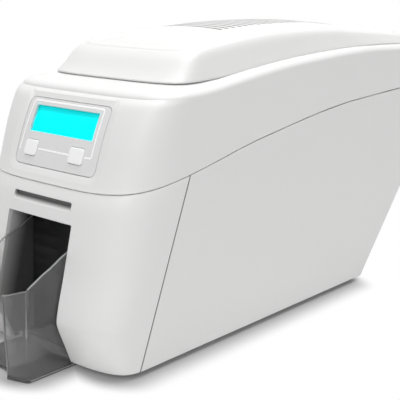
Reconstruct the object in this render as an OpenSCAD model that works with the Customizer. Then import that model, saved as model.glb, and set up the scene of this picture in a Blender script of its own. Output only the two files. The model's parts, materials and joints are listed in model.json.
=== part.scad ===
// Desktop card printer: an arched body with a hinged hood, a front control panel, a hand-feed slot
// and a clear bin for finished cards. Millimetres. X is across, the front faces -Y, Z is up.

/* [Body] */
// Half the width of the body
body_hw = 79.2; // [76:0.1:83]
// Wall thickness of the moulded covers
wall = 2.6; // [2:0.1:4]
// Underside of the body above the table
floor_z = 4; // [3:0.1:8]
// Room between the card hopper and the rear face of the upper housing
rear_room = 48.5; // [46:0.5:60]
// Depth of the front corners at the bottom
corner_low = 28; // [20:1:40]
// Depth of the front corners at the upper seam
corner_high = 60; // [40:1:70]
// Depth of the front corners at the shoulder
corner_top = 40; // [30:1:55]
// Depth of the rear corners
corner_rear = 6; // [4:0.5:12]
// Half the gap between neighbouring covers
seam = 0.25; // [0.15:0.05:0.5]
// Slope of the rear face away from upright
rear_tilt = 40.7; // [30:0.1:50]
// How far the rear face leans back over its height
rear_run = 127.1; // [120:0.1:132]
// Seam between the front cover and the side panels, along Y at the table
side_seam_y0 = -166.9; // [-172:0.1:-160]
// Lean of that seam away from upright
side_seam_lean = 21.5; // [15:0.1:28]

/* [Hood] */
// Half the width of the hood at its base
hood_hw = 65.7; // [60:0.1:70]
// Front of the hood at its base
hood_y0 = -118.2; // [-125:0.1:-110]
// Distance of the hood's rear edge from the rear face
hood_rear = 23; // [20:0.5:30]
// Upright skirt at the base of the hood
hood_skirt = 4.4; // [3:0.1:7]
// Rise of the crown of the hood over its top edges
hood_crown = 5; // [2:0.5:8]
// Half the width of the well under the hood
well_hw = 61.2; // [55:0.1:63]
// Distance of the hood's hinge line from the rear face
hinge_rear = 17; // [14:0.1:20]
// Hinge line of the hood, along Z
hinge_z = 198.9; // [197:0.1:202]
// Radius of the hinge knuckles
knuckle_r = 4.2; // [3.5:0.1:5]

/* [Front panel] */
// Half the width of the grey panel
panel_hw = 41.4; // [36:0.1:46]
// Height of the middle of the display
lcd_z = 159.5; // [157:0.1:161]
// Grey panel below the middle of the display
panel_below = 30.7; // [28:0.1:34]
// Grey panel above the middle of the display
panel_above = 13.4; // [12:0.1:15]
// Corner radius of the grey panel
panel_r = 4.4; // [3:0.1:6]
// Depth of the grey panel below the skin
panel_sink = 1.2; // [0.4:0.1:2]
// Width of the sloping rim around the grey panel
panel_rim = 4; // [2:0.5:5]
// Buttons below the middle of the display
button_drop = 19.5; // [18:0.1:21]
// Half the width of the display
lcd_hw = 32.3; // [28:0.1:36]
// Height of the display along the slope
lcd_h = 19.2; // [15:0.1:24]
// Width of the left button
button_lw = 12.5; // [10:0.5:16]
// Width of the right button
button_rw = 14; // [10:0.5:18]
// Height of the buttons
button_h = 11; // [8:0.5:14]
// Centre of the left button
button_lx = -26; // [-34:0.5:-20]
// Centre of the right button
button_rx = 21; // [12:0.5:30]

/* [Card path] */
// Width of a standard card
card_w = 54; // [54:0.1:54]
// Length of a standard card
card_l = 85.6; // [85.6:0.1:85.6]
// Thickness of a standard card
card_t = 0.76; // [0.7:0.01:0.84]
// Half the width of the hand-feed slot
slot_hw = 30; // [28:0.1:32]
// Lower edge of the hand-feed slot
slot_z0 = 105.8; // [104:0.1:108]
// Upper edge of the hand-feed slot
slot_z1 = 111.6; // [110:0.1:113]
// Height of the roller axes
roller_z = 101.7; // [100:0.1:103]
// Radius of the driven rollers
roller_r = 6; // [5:0.1:7]
// Radius of the pinch rollers
pinch_r = 5; // [4:0.1:6]
// Radius of the roller shafts
shaft_r = 3; // [2:0.1:4]
// Radial clearance of the running fits
run = 0.05; // [0.02:0.01:0.1]
// Pitch of the roller train along the path
pitch = 48; // [48:1:48]
// Position of the platen roller
platen_y = -2; // [-4:0.5:0]
// Distance from the rear driven roller to the pick roller
pick_gap = 72; // [72:1:72]
// Cards in the stack
cards = 20; // [1:1:40]

/* [Stacker] */
// Half the width of the bay opening
bay_hw = 33.1; // [31:0.1:36]
// Top of the bay opening
bay_top = 97.8; // [90:0.1:102]
// Depth of the white walls inside the bay opening
bay_depth = 21; // [6:1:24]
// Half the width of the bin
bin_hw = 32.4; // [30:0.1:33]
// Wall thickness of the bin
bin_wall = 2; // [1.5:0.1:3]
// Foremost point of the bin
bin_nose = -226.5; // [-232:0.5:-220]
// How far the front wall of the bin bows forward
bin_bow = 5; // [2:0.5:9]
// Backward lean of the front wall of the bin
bin_lean = 2; // [1:0.1:6]
// Half the width of the finger opening at the top
finger_hw = 9.9; // [8:0.1:14]

/* [Ribbon] */
// Take-up spool along Y
take_y = -70; // [-74:0.5:-66]
// Supply spool along Y
supply_y = 66; // [60:0.5:68]
// Height of the spool axes
spool_z = 150; // [148:0.5:152]
// Radius of the spool flanges
flange_r = 20; // [18:0.5:22]
// Radius of the ribbon wound on the supply spool
full_r = 17; // [12:0.5:18]
// Radius of the ribbon wound on the take-up spool
used_r = 11; // [9:0.5:18]
// Half the width of the ribbon
ribbon_hw = 30; // [28:0.5:32]

/* [Drive] */
// Gear module
gear_m = 1; // [1:0.1:1]
// Teeth on a roller gear
roller_teeth = 24; // [24:1:24]
// Teeth on a motor pinion
pinion_teeth = 12; // [12:1:12]
// Teeth on the large idler
large_teeth = 48; // [48:1:48]
// Teeth on the rim of the take-up spool
spool_teeth = 40; // [40:1:40]
// Outer face of the gears on the left
gear_x0 = -67; // [-70:0.5:-65]
// Inner face of the gears on the left
gear_x1 = -62; // [-63:0.5:-61]
// Inner faces of the two chassis plates
plate_x = 57; // [56:0.5:58]
// Thickness of the chassis plates
plate_t = 1.5; // [1:0.1:2]
// Direction from the take-up spool to its pinion
ribbon_angle = 230; // [230:1:230]

/* [Hidden] */
$fn = 48;
eps = 0.01;

exit_y = platen_y - 2 * pitch;
feed_y = platen_y - pitch;
transport_y = platen_y + pitch;
pick_y = transport_y + pick_gap;
path_z = roller_z + roller_r;
hopper_y0 = 91.5;
hopper_y1 = hopper_y0 + card_l + 0.9;
hopper_floor = 108;
rear_y = hopper_y1 + rear_room;
rear_foot_y = rear_y - rear_run;
rear_top_y = rear_y - 6.3;
hood_y1 = rear_y - hood_rear;
hinge_y = rear_y - hinge_rear;
panel_z0 = lcd_z - panel_below;
panel_z1 = lcd_z + panel_above;
button_z = lcd_z - button_drop;
function side_seam_y(z) = side_seam_y0 + z * tan(side_seam_lean);
motor_y = platen_y + pitch / 2;
motor_z = roller_z - gear_m * (pinion_teeth + roller_teeth) / 2;
pinch_z = path_z + 0.9 + pinch_r;
ribbon_d = gear_m * (spool_teeth + pinion_teeth) / 2;
rpin_y = take_y + ribbon_d * cos(ribbon_angle);
rpin_z = spool_z + ribbon_d * sin(ribbon_angle);
plate_o = plate_x + plate_t;
rear_k = tan(rear_tilt);

// Stations of the curves that shape the covers, each as [position, height or depth]
front_line = [[4, -185.5], [18, -190.6], [30, -195], [36, -196.5], [42, -195.6], [66, -189.4],
  [97.8, -181.5], [111.6, -177.7], [119.3, -174], [128.8, -170.1], [139, -166.4], [150.6, -162],
  [168, -153.9], [175.1, -149.4], [177.9, -144.5]];
seam_line = [[-200, 115.4], [-173.1, 119.3], [-117.5, 127.3], [-87.5, 133.1], [-66.3, 137.6],
  [-44.2, 141.6], [-21, 145.1], [3.5, 148.7], [29.1, 152.2], [70.3, 156.3], [99.8, 157.7],
  [147.4, 159.8], [230, 161]];
shoulder_line = [[-143.5, 177.9], [-107.7, 178.4], [-87.9, 180], [-67.1, 182.8], [-34, 186.8],
  [1.7, 190.1], [27, 191.5], [67.7, 193.2], [96.9, 193.7], [144.2, 192.2], [230, 188.6]];
deck_line = [[-118, 185.2], [-92, 185.5], [-71.8, 186.4], [-39.2, 189.8], [-4.2, 192.9],
  [20.7, 194.8], [60.5, 196.4], [89, 197], [134.9, 196.6], [167.9, 195.1], [212, 192.6]];
hood_line = [[-118, 198], [-96, 204.9], [-82.2, 206.8], [-50.7, 210.1], [-28.3, 212.1],
  [-4.9, 213.3], [19.8, 213.9], [45.9, 213.8], [73.5, 212.9], [102.8, 210.3], [133.9, 207.5],
  [167, 204.6], [204, 200.8]];

function seam_z(y) = lookup(y, seam_line);
function shoulder_z(y) = lookup(y, shoulder_line);
function deck_z(y) = lookup(y, deck_line);
function hood_z(y) = lookup(y, hood_line);
function front_y(z) = lookup(z, front_line);
function mix(a, b, k) = a + (b - a) * k;

// One closed outline: a bowed front, two straight sides and a bowed rear
q_n = 12;
side_n = 10;
function arc_pt(hw, y, d, t) = [hw * sqrt(sin(t)), y + d * (1 - sqrt(cos(t)))];
function outline(hw, yf, df, yr, dr) = concat(
  [for (i = [q_n:-1:1]) let (p = arc_pt(hw, yf, df, 90 * i / q_n)) [-p[0], p[1]]],
  [for (i = [0:q_n]) arc_pt(hw, yf, df, 90 * i / q_n)],
  [for (i = [1:side_n - 1]) [hw, mix(yf + df, yr - dr, i / side_n)]],
  [for (i = [q_n:-1:1]) arc_pt(hw, yr, -dr, 90 * i / q_n)],
  [for (i = [0:q_n]) let (p = arc_pt(hw, yr, -dr, 90 * i / q_n)) [-p[0], p[1]]],
  [for (i = [side_n - 1:-1:1]) [-hw, mix(yf + df, yr - dr, i / side_n)]]);

// Rings of points joined into one skin; a closed skin runs from the last ring to the first
module loft(rings, closed = true) {
  n = len(rings[0]);
  m = len(rings);
  pts = [for (r = rings) for (p = r) p];
  skin = [for (j = [0:closed ? m - 1 : m - 2], i = [0:n - 1], k = [0, 1])
    let (a = j * n + i, b = j * n + (i + 1) % n, c = (j + 1) % m * n + i,
      d = (j + 1) % m * n + (i + 1) % n) k == 0 ? [a, c, b] : [b, c, d]];
  // end caps: strips between each point and its twin across the centre line
  cap = [for (j = [0:n / 2 - 1], k = [0, 1])
    let (a = q_n + j, b = a + 1, c = (q_n - j - 1 + n) % n, d = (q_n - j + n) % n)
    if (k == 0 ? b != c : j > 0) k == 0 ? [d, c, b] : [d, b, a]];
  top = [for (f = cap) [for (v = f) v + (m - 1) * n]];
  low = [for (f = cap) [f[2], f[1], f[0]]];
  polyhedron(pts, closed ? skin : concat(low, skin, top), convexity = 8);
}

// A side view drawn as [y, z], given thickness along X
module side(x0, x1) {
  translate([x0, 0, 0]) rotate([90, 0, 90]) linear_extrude(x1 - x0) children();
}

module box(x0, x1, y0, y1, z0, z1) {
  translate([x0, y0, z0]) cube([x1 - x0, y1 - y0, z1 - z0]);
}

module rod(x0, x1, y, z, r) {
  translate([x0, y, z]) rotate([0, 90, 0]) cylinder(h = x1 - x0, r = r);
}

module pair() {
  children();
  mirror([1, 0, 0]) children();
}

module round_rect(w, h, r) {
  square([w - 2 * r, h], center = true);
  square([w, h - 2 * r], center = true);
  for (x = [-1, 1], y = [-1, 1]) translate([x * (w / 2 - r), y * (h / 2 - r)]) circle(r);
}

function gear_pts(teeth, turn) = let (p = 360 / teeth, r = gear_m * teeth / 2)
  [for (i = [0:teeth - 1], k = [0:3]) let (a = i * p + turn + [-0.27, -0.09, 0.09, 0.27][k] * p,
    q = k == 1 || k == 2 ? r + 0.9 * gear_m : r - 1.15 * gear_m) [q * cos(a), q * sin(a)]];

module gear(x0, x1, y, z, teeth, turn) {
  translate([0, y, z]) side(x0, x1) polygon(gear_pts(teeth, turn));
}

// Frame of the sloping rear face: X across, Y outward, Z up the slope
module on_rear() {
  translate([0, rear_foot_y, 6.3]) rotate([-rear_tilt, 0, 0]) children();
}

// Frame of the sloping front panel at height z: X across, Y inward, Z up the slope
function panel_tilt(z) = atan((front_y(z + 4) - front_y(z - 4)) / 8);
module on_panel(z) {
  translate([0, front_y(z), z]) rotate([-panel_tilt(z), 0, 0]) children();
}

// ---- covers -------------------------------------------------------------------------------

low_k = [0, 0.13, 0.23, 0.278, 0.33, 0.5, 0.67, 0.82, 0.93, 1];
function low_ring(k, t) = let (o = outline(body_hw - t, front_y(floor_z + 115.3 * k) + t,
    mix(corner_low, corner_high, k), -60 - t, 1))
  [for (p = o) [p[0], p[1], mix(floor_z, seam_z(p[1]) - seam, k)]];

module front_cover() {
  color("white") {
    difference() {
      loft(concat([for (k = low_k) low_ring(k, 0)],
        [for (i = [len(low_k) - 1:-1:0]) low_ring(low_k[i], wall)]));
      side(-90, 90) polygon([[side_seam_y(0), 0], [side_seam_y(127.6), 127.6],
        [side_seam_y(127.6), 150], [0, 150], [0, 0]]);
      box(-bay_hw, bay_hw, -205, -160, 0, bay_top);
      // slot with a lower lip that slopes up into the body
      hull() {
        slot_section(-186, slot_z0 - 6.1, slot_z1);
        slot_section(-175.3, slot_z0 + 3.1, slot_z1);
      }
    }
    // walls around the bay opening
    pair() side(bay_hw, bay_hw + 2) polygon(concat(
      [for (p = front_line) if (p[0] <= bay_top) [p[1] + 1.1, p[0]]],
      [[front_y(bay_top) + bay_depth, bay_top], [front_y(7.2) + bay_depth, 7.2],
      [front_y(7.2) + 6.5, 7.2], [front_y(floor_z) + 6.5, floor_z]]));
    side(-bay_hw - 2, bay_hw + 2) polygon([[front_y(bay_top) + 1.1, bay_top],
      [front_y(bay_top) + bay_depth, bay_top], [front_y(bay_top) + bay_depth, bay_top + 2],
      [front_y(bay_top) + 1.6, bay_top + 2]]);
    // hooks behind the side panels
    pair() for (z = [22, 62, 100]) {
      box(body_hw - wall - 2, body_hw - wall + 1, side_seam_y(z) - 10, side_seam_y(z) - 0.8, z, z + 6);
      box(body_hw - wall - 2, body_hw - wall - 0.1, side_seam_y(z) - 9, side_seam_y(z) + 9, z, z + 6);
    }
  }
}

module slot_section(y, z0, z1) {
  translate([0, y, (z0 + z1) / 2]) rotate([-90, 0, 0]) linear_extrude(eps)
    round_rect(2 * slot_hw, z1 - z0, min(2, (z1 - z0) / 2 - 0.05));
}

side_top_y = side_seam_y(127.3) + 2 * seam;
side_view = concat([[side_seam_y(floor_z) + 2 * seam, floor_z], [rear_foot_y - 2.2, floor_z],
    [rear_foot_y, 6.3], [rear_top_y, 6.3 + (rear_top_y - rear_foot_y) / rear_k],
    [rear_top_y, seam_z(rear_top_y) - seam]],
  [for (i = [11:-1:2]) if (seam_line[i][0] > side_top_y + 1 && seam_line[i][0] < rear_top_y - 1)
    [seam_line[i][0], seam_line[i][1] - seam]], [[side_top_y, seam_z(side_top_y) - seam]]);

module side_panel() {
  side(body_hw - wall, body_hw) polygon(side_view);
  // stiffening ribs and screw bosses on the inner face
  rib = 0.4 * (body_hw - wall - 66.6);
  for (y = [-100, 8, 64]) box(body_hw - wall - rib, body_hw - wall + 0.5, y, y + 1.8, 14, 118);
  box(body_hw - wall - rib, body_hw - wall + 0.5, -120, 84, 30, 31.8);
  for (y = [-120, -20, 60]) {
    difference() {
      rod(body_hw - wall - 9, body_hw - wall + 0.5, y, 20, 3.6);
      rod(body_hw - wall - 10, body_hw - wall - 2, y, 20, 1.4);
    }
  }
}

module side_panel_left() {
  color("whitesmoke") mirror([1, 0, 0]) side_panel();
}

module side_panel_right() {
  color("whitesmoke") side_panel();
}

high_k = [0, 0.17, 0.34, 0.52, 0.7, 0.86, 1];
function high_ring(k, t) = let (o = outline(body_hw - t, front_y(119.3 + 58.6 * k) + t,
    mix(corner_high, corner_top, k), rear_y - t, corner_rear))
  [for (p = o) [p[0], p[1], mix(seam_z(p[1]) + seam, shoulder_z(p[1]), k)]];
function edge_ring(in, up) = let (o = outline(body_hw - in, -144.5 + in, corner_top - in / 3,
    rear_y - in, corner_rear)) [for (p = o) [p[0], p[1], shoulder_z(p[1]) + up]];
function deck_ring(dz) = let (o = outline(well_hw, hood_y0 + 4.6, 24, hood_y1 - 5, 8))
  [for (p = o) [p[0], p[1], deck_z(p[1]) + dz]];

module upper_housing() {
  color("white") difference() {
    union() {
      loft(concat([for (k = high_k) high_ring(k, 0)], [edge_ring(1.6, 2.5), edge_ring(5, 3.9)],
        [deck_ring(0), deck_ring(-wall)], [edge_ring(5.4, 3.9 - wall)],
        [for (i = [len(high_k) - 1:-1:0]) high_ring(high_k[i], wall)]));
      // ledge behind the grey panel
      panel_patch(3, 2, 4.2 + panel_sink);
      // knuckles of the hood hinge
      pair() for (x = [30, 44.1]) {
        rod(x, x + 5.9, hinge_y, hinge_z, knuckle_r);
        box(x, x + 5.9, hinge_y - 3.4, hinge_y + 3.4, deck_z(hinge_y) - 1.6, hinge_z);
      }
    }
    pair() rod(29, 51, hinge_y, hinge_z, 2.02);
    // recess of the grey panel, with a sloping rim, and the opening behind it
    intersection() {
      panel_patch(4, -3, 2.4 + panel_sink);
      panel_prism(0.35);
    }
    intersection() {
      panel_patch(0, -1, panel_sink, (panel_rim + 0.35) * (1 + 1 / panel_sink));
      panel_prism(0.35 + panel_rim);
    }
    panel_patch(-2.5, 1, 7 + panel_sink);
  }
}

// A slab that follows the front panel, from depth d0 to depth d1, grown by g all round
patch_nx = 8;
patch_nz = 6;
function patch_pt(x, z, d) = let (k = (z - 119.3) / 58.6, h = mix(corner_high, corner_top, k),
    bow = h * (1 - sqrt(sqrt(1 - pow(abs(x) / body_hw, 4)))), a = panel_tilt(z))
  [x, front_y(z) + bow + d * cos(a), z - d * sin(a)];
module panel_patch(g, d0, d1, g0 = undef) {
  nx = patch_nx + 1;
  pts = [for (layer = [[d0, is_undef(g0) ? g : g0], [d1, g]], j = [0:patch_nz], i = [0:patch_nx])
    let (w = panel_hw + layer[1])
      patch_pt(-w + 2 * w * i / patch_nx,
        mix(panel_z0 - layer[1], panel_z1 + layer[1], j / patch_nz), layer[0])];
  o = nx * (patch_nz + 1);
  front = [for (j = [0:patch_nz - 1], i = [0:patch_nx - 1], k = [0, 1])
    let (a = j * nx + i) k == 0 ? [a, a + nx, a + 1] : [a + 1, a + nx, a + nx + 1]];
  back = [for (f = front) [f[2] + o, f[1] + o, f[0] + o]];
  rim = concat([for (i = [0:patch_nx - 1]) i], [for (j = [0:patch_nz - 1]) patch_nx + j * nx],
    [for (i = [patch_nx:-1:1]) patch_nz * nx + i], [for (j = [patch_nz:-1:1]) j * nx]);
  m = len(rim);
  edge = [for (i = [0:m - 1], k = [0, 1]) let (a = rim[i], b = rim[(i + 1) % m])
    k == 0 ? [a, b, b + o] : [a, b + o, a + o]];
  polyhedron(pts, concat(front, back, edge), convexity = 6);
}

// The rounded outline of the grey panel, grown by g, cut square through the front
panel_mid = (panel_z0 + panel_z1) / 2;
module panel_prism(g) {
  h = (panel_z1 - panel_z0) / cos(panel_tilt(panel_mid));
  on_panel(panel_mid) translate([0, -10, 0]) rotate([-90, 0, 0]) linear_extrude(24)
    round_rect(2 * (panel_hw + g), h + 2 * g, panel_r + g);
}

module rear_panel() {
  slope = (rear_top_y - rear_foot_y) / sin(rear_tilt);
  out = rear_y + 20;
  color("whitesmoke") {
    difference() {
      on_rear() box(-body_hw + wall + 0.2, body_hw - wall - 0.2, -wall, 0, -1, slope + 6);
      on_rear() {
        box(-56, -44, -5, 1, 16, 28);
        box(-31, -17.8, -5, 1, 16, 28.4);
        box(-7, 10, -5, 1, 16, 31);
        box(29.9, 50.1, -5, 1, 15.3, 28.7);
        // cooling slots
        for (i = [0:8]) box(-40, 40, -5, 1, 62 + i * 7, 65 + i * 7);
      }
      box(-90, 90, 60, out, -10, floor_z);
      box(-90, 90, rear_top_y + 0.6, out, 0, 170);
      box(-90, 90, rear_top_y - 30, out, seam_z(rear_top_y) - seam, 200);
    }
    // band across the top of the rear face, up to the seam
    difference() {
      linear_extrude(200) polygon(outline(body_hw, 0, 1, rear_y, corner_rear));
      translate([0, 0, -1]) linear_extrude(202)
        polygon(outline(body_hw - wall, 0, 1, rear_y - wall, corner_rear - 1));
      box(-90, 90, -1, rear_top_y + 0.5, -1, 201);
      box(-90, 90, rear_top_y - 30, out, seam_z(rear_y - 3.5) - seam, 202);
      on_rear() box(-90, 90, 0, 400, -300, 400);
      on_rear() box(-90, 90, -60, 1, -300, slope - 4);
    }
  }
}

rear_screws = [[-68, 10], [68, 10], [-68, 90], [68, 90], [-68, 160], [68, 160]];
module case_screws() {
  color("silver") {
    on_rear() for (p = rear_screws) translate([p[0], 0.05, p[1]]) rotate([-90, 0, 0]) {
      difference() {
        cylinder(h = 1.6, r = 2.8);
        for (a = [0, 90]) rotate(a) translate([-1.8, -0.35, 0.9]) cube([3.6, 0.7, 1]);
      }
    }
    for (x = [-70, 70], y = [-120, -20, 60]) translate([x, y, floor_z - 1.4]) {
      difference() {
        cylinder(h = 1.35, r = 2.6);
        for (a = [0, 90]) rotate(a) translate([-1.7, -0.35, -0.5]) cube([3.4, 0.7, 1]);
      }
    }
  }
}

pan_hw = body_hw - wall - 0.4;
module base_pan() {
  color("dimgray") difference() {
    union() {
      translate([0, 0, floor_z]) linear_extrude(2.4)
        polygon(outline(pan_hw, -181.6, corner_low - 1, rear_foot_y - 7.4, 3));
      translate([0, 0, floor_z]) difference() {
        linear_extrude(9) polygon(outline(pan_hw, -181.6, corner_low - 1, rear_foot_y - 7.4, 3));
        translate([0, 0, -1]) linear_extrude(11)
          polygon(outline(pan_hw - 1.8, -179.8, corner_low - 2, rear_foot_y - 9.2, 2));
      }
      for (x = [-38, 38], y = [-92, 48]) translate([x, y, floor_z]) cylinder(h = 9.9, r = 3.6);
    }
    box(-37.8, 37.8, -200, -118, 0, 30);
    for (i = [0:6]) box(-28, 28, -64 + i * 14, -58 + i * 14, 0, 10);
    for (x = [-60, 60], y = [-150, 70]) translate([x, y, 0]) cylinder(h = 20, r = 3.1);
    for (x = [-38, 38], y = [-92, 48]) translate([x, y, 10]) cylinder(h = 8, r = 1.3);
    pair() for (y = [-120, -20, 60]) box(66, 78, y - 5, y + 5, 7, 20);
  }
}

module rubber_feet() {
  color("black") for (x = [-60, 60], y = [-150, 70]) translate([x, y, 0]) {
    difference() {
      union() {
        cylinder(h = 1, r1 = 8, r2 = 9);
        translate([0, 0, 1]) cylinder(h = floor_z - 1.05, r = 9);
        cylinder(h = 6.4, r = 3);
      }
      translate([0, 0, -1]) cylinder(h = 2, r = 3.2);
    }
  }
}

// ---- front panel --------------------------------------------------------------------------

module display_bezel() {
  color("gray") difference() {
    intersection() {
      panel_patch(3, panel_sink, panel_sink + 2);
      panel_prism(0);
    }
    on_panel(lcd_z) translate([0, -4, 0]) rotate([-90, 0, 0]) linear_extrude(12)
      round_rect(2 * lcd_hw, lcd_h, 1.5);
    on_panel(button_z) for (b = [[button_lx, button_lw], [button_rx, button_rw]])
      translate([b[0], -4, 0]) rotate([-90, 0, 0]) linear_extrude(12)
        round_rect(b[1] + 0.6, button_h + 0.6, 2.3);
  }
}

module display_window() {
  color("lightcyan", 0.5) on_panel(lcd_z) translate([0, panel_sink + 1, 0]) rotate([-90, 0, 0])
    linear_extrude(1) round_rect(2 * lcd_hw - 0.4, lcd_h - 0.4, 1.3);
}

module display_lcd() {
  color("teal") on_panel(lcd_z) translate([0, panel_sink, 0]) {
    box(-lcd_hw - 3, lcd_hw + 3, 3, 7, -lcd_h / 2 - 1.5, lcd_h / 2 + 1.5);
    box(-lcd_hw + 1, lcd_hw - 1, 2.4, 4, -lcd_h / 2 + 1, lcd_h / 2 - 1);
  }
}

module control_board() {
  color("darkgreen") on_panel(lcd_z) translate([0, panel_sink, 0]) {
    difference() {
      box(-39, 39, 7.3, 8.9, -30, 12);
      for (x = [-36, 36], z = [-27, 9]) translate([x, 5, z]) rotate([-90, 0, 0])
        cylinder(h = 6, r = 1.6);
    }
    box(-20, 4, 8.8, 11, -20, -12);
    box(10, 30, 8.8, 10.4, 0, 8);
  }
}

module button(x, w) {
  on_panel(button_z) translate([x, panel_sink, 0]) {
    translate([0, -0.9, 0]) rotate([-90, 0, 0]) linear_extrude(4.2) round_rect(w, button_h, 2);
    translate([0, 3.1, 0]) rotate([-90, 0, 0]) linear_extrude(0.9)
      round_rect(w + 2.2, button_h + 2.2, 2.4);
    translate([0, 3.9, 0]) rotate([-90, 0, 0]) cylinder(h = 1.5, r = 2);
  }
}

module button_left() {
  color("gainsboro") button(button_lx, button_lw);
}

module button_right() {
  color("gainsboro") button(button_rx, button_rw);
}

// ---- hand-feed slot and stacker -------------------------------------------------------------

module slot_guide() {
  color("black") difference() {
    union() {
      translate([0, -174.5, (slot_z0 + slot_z1) / 2]) rotate([-90, 0, 0]) linear_extrude(45.5)
        round_rect(2 * slot_hw - 0.6, slot_z1 - slot_z0 - 0.5, 2.25);
      box(-35, 35, -171, -168.6, slot_z0 - 2.6, slot_z1 + 3.5);
      box(-35, 35, -131, -129, slot_z0 - 0.7, slot_z1 + 3.5);
    }
    box(-28.2, 28.2, -180, -120, 107.2, 110);
    side(-28.2, 28.2) polygon([[-180, 106.5], [-180, 111], [-170, 110], [-170, 107.2]]);
  }
}

bay_y1 = -122;
module stacker_bay() {
  color("black") difference() {
    union() {
      pair() box(35.3, 37.3, -172, bay_y1, 4.3, 102);
      box(-37.3, 37.3, -172, bay_y1, 100.4, 102);
      box(-37.3, 37.3, bay_y1 - 2, bay_y1, 4.3, 102);
      // rails that carry the bin
      pair() box(27, 35.4, -171, bay_y1, 4.3, 6.6);
      pair() box(37.2, 44, -150, -140, 6.6, 8.6);
    }
    pair() translate([41, -145, 0]) cylinder(h = 20, r = 1.6);
    for (i = [0:5]) box(-20, 20, bay_y1 - 4, bay_y1 + 2, 30 + i * 10, 35 + i * 10);
  }
}

bin_rim = [[-240, 48], [-224.5, 54.8], [-223.1, 56.3], [-221.8, 58.4], [-219.8, 61],
  [-217.5, 62.5], [-211.5, 65.8], [-203.3, 70.3], [-198, 72.6], [-187.3, 78.5], [-174, 83.4],
  [-163.2, 89], [-156, 92], [-120, 92]];
bin_back = -127;
bin_step = -176;
module bin_plan(t) {
  hw = bin_hw - t;
  y0 = bin_nose + t;
  polygon(concat([for (i = [-8:8]) [hw * i / 8 * (abs(i) == 8 ? 1 : 0.995),
    y0 + bin_bow * pow(i / 8, 2) + (abs(i) == 8 ? 2 : 0)]], [[hw, -100], [-hw, -100]]));
}

// Hollow in the front edge of the bin's floor, below the finger opening
module bin_notch() translate([0, bin_nose - 14, -1]) cylinder(r = 22, h = 3.8);

module card_stacker() {
  color("dimgray", 0.5) {
    difference() {
      intersection() {
        translate([0, bin_nose, 0.6]) rotate([-bin_lean, 0, 0]) translate([0, -bin_nose, -30])
          linear_extrude(160) difference() {
            bin_plan(0);
            bin_plan(bin_wall);
          }
        side(-40, 40) polygon(concat(bin_rim, [[-120, 6.9], [bin_step, 6.9], [bin_step, 0.6],
          [-240, 0.6]]));
        box(-40, 40, -240, bin_back, 0, 120);
      }
      // finger opening in the front wall
      translate([0, -200, 0]) rotate([90, 0, 0]) linear_extrude(40)
        polygon([[-finger_hw - 6.2, 2.6], [finger_hw + 6.2, 2.6], [finger_hw, 80],
          [-finger_hw, 80]]);
      bin_notch();
    }
    difference() {
      intersection() {
        translate([0, bin_nose, 0.6]) rotate([-bin_lean, 0, 0]) translate([0, -bin_nose, -30])
          linear_extrude(60) bin_plan(0);
        box(-40, 40, -240, bin_step, 0.6, 2.6);
      }
      bin_notch();
    }
    // raised floor that slides on the rails of the bay
    box(-bin_hw, bin_hw, bin_step - 2, bin_back, 6.9, 8.9);
    box(-bin_hw, bin_hw, bin_step - 2, bin_step, 0.6, 8);
    box(-bin_hw, bin_hw, bin_back - 2, bin_back, 6.9, 92);
    // ledge that tips the cards forward
    side(-bin_hw + 1, bin_hw - 1) polygon([[-129, 8], [-129, 13], [-160, 8.9], [-160, 8]]);
  }
}

// ---- chassis --------------------------------------------------------------------------------

plate_view = [[-126, 6.6], [84, 6.6], [150, 80], [150, 122], [92, 122], [92, 166], [-100, 166],
  [-126, 122]];
module plate_cuts() {
  for (w = [[-108, -66, 20, 80], [-48, -6, 20, 66], [52, 84, 24, 76]]) {
    translate([(w[0] + w[1]) / 2, (w[2] + w[3]) / 2]) round_rect(w[1] - w[0], w[3] - w[2], 5);
  }
  for (y = [exit_y, feed_y, platen_y, transport_y, pick_y]) translate([y, roller_z]) circle(5.02);
}

module chassis_plate_left() {
  color("silver") difference() {
    union() {
      side(-plate_o, -plate_x) difference() {
        polygon(plate_view);
        plate_cuts();
      }
      box(-plate_o, -plate_x + 9, -116, -100, 6.6, 8.1);
      box(-plate_o, -plate_x + 9, 60, 80, 6.6, 8.1);
      // posts of the idler gears
      for (y = [exit_y + 24, feed_y + 24, motor_y, transport_y + 36])
        rod(-68.2, -plate_x - 0.5, y, roller_z, shaft_r);
    }
    rod(-70, -50, motor_y, motor_z, 8);
    for (y = [-108, 70]) translate([-52, y, 0]) cylinder(h = 20, r = 1.6);
  }
}

module chassis_plate_right() {
  color("silver") difference() {
    union() {
      side(plate_x, plate_o) difference() {
        polygon(plate_view);
        plate_cuts();
      }
      box(plate_x - 9, plate_o, -116, -100, 6.6, 8.1);
      box(plate_x - 9, plate_o, 60, 80, 6.6, 8.1);
    }
    rod(50, 70, rpin_y, rpin_z, 4);
    for (y = [-108, 70]) translate([52, y, 0]) cylinder(h = 20, r = 1.6);
  }
}

module roller_bushings() {
  color("ivory") pair() for (y = [exit_y, feed_y, platen_y, transport_y, pick_y]) {
    difference() {
      union() {
        rod(plate_x - 1.2, plate_o + 0.6, y, roller_z, 5);
        rod(plate_x - 1.2, plate_x - 0.1, y, roller_z, 6.4);
      }
      rod(50, 70, y, roller_z, shaft_r + run);
    }
  }
}

module drive_roller(y, turn) {
  rod(gear_x0 - 0.4, plate_o + 2, y, roller_z, shaft_r);
  rod(-26, 26, y, roller_z, roller_r);
  gear(gear_x0, gear_x1, y, roller_z, roller_teeth, turn);
  rod(gear_x1 - 1, gear_x1 + 2, y, roller_z, 5);
}

module exit_roller() {
  color("dimgray") drive_roller(exit_y, 0);
}

module feed_roller() {
  color("dimgray") drive_roller(feed_y, 0);
}

module platen_roller() {
  color("dimgray") drive_roller(platen_y, 0);
}

module transport_roller() {
  color("dimgray") drive_roller(transport_y, 0);
}

module pick_roller() {
  color("dimgray") drive_roller(pick_y, 0);
}

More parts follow.
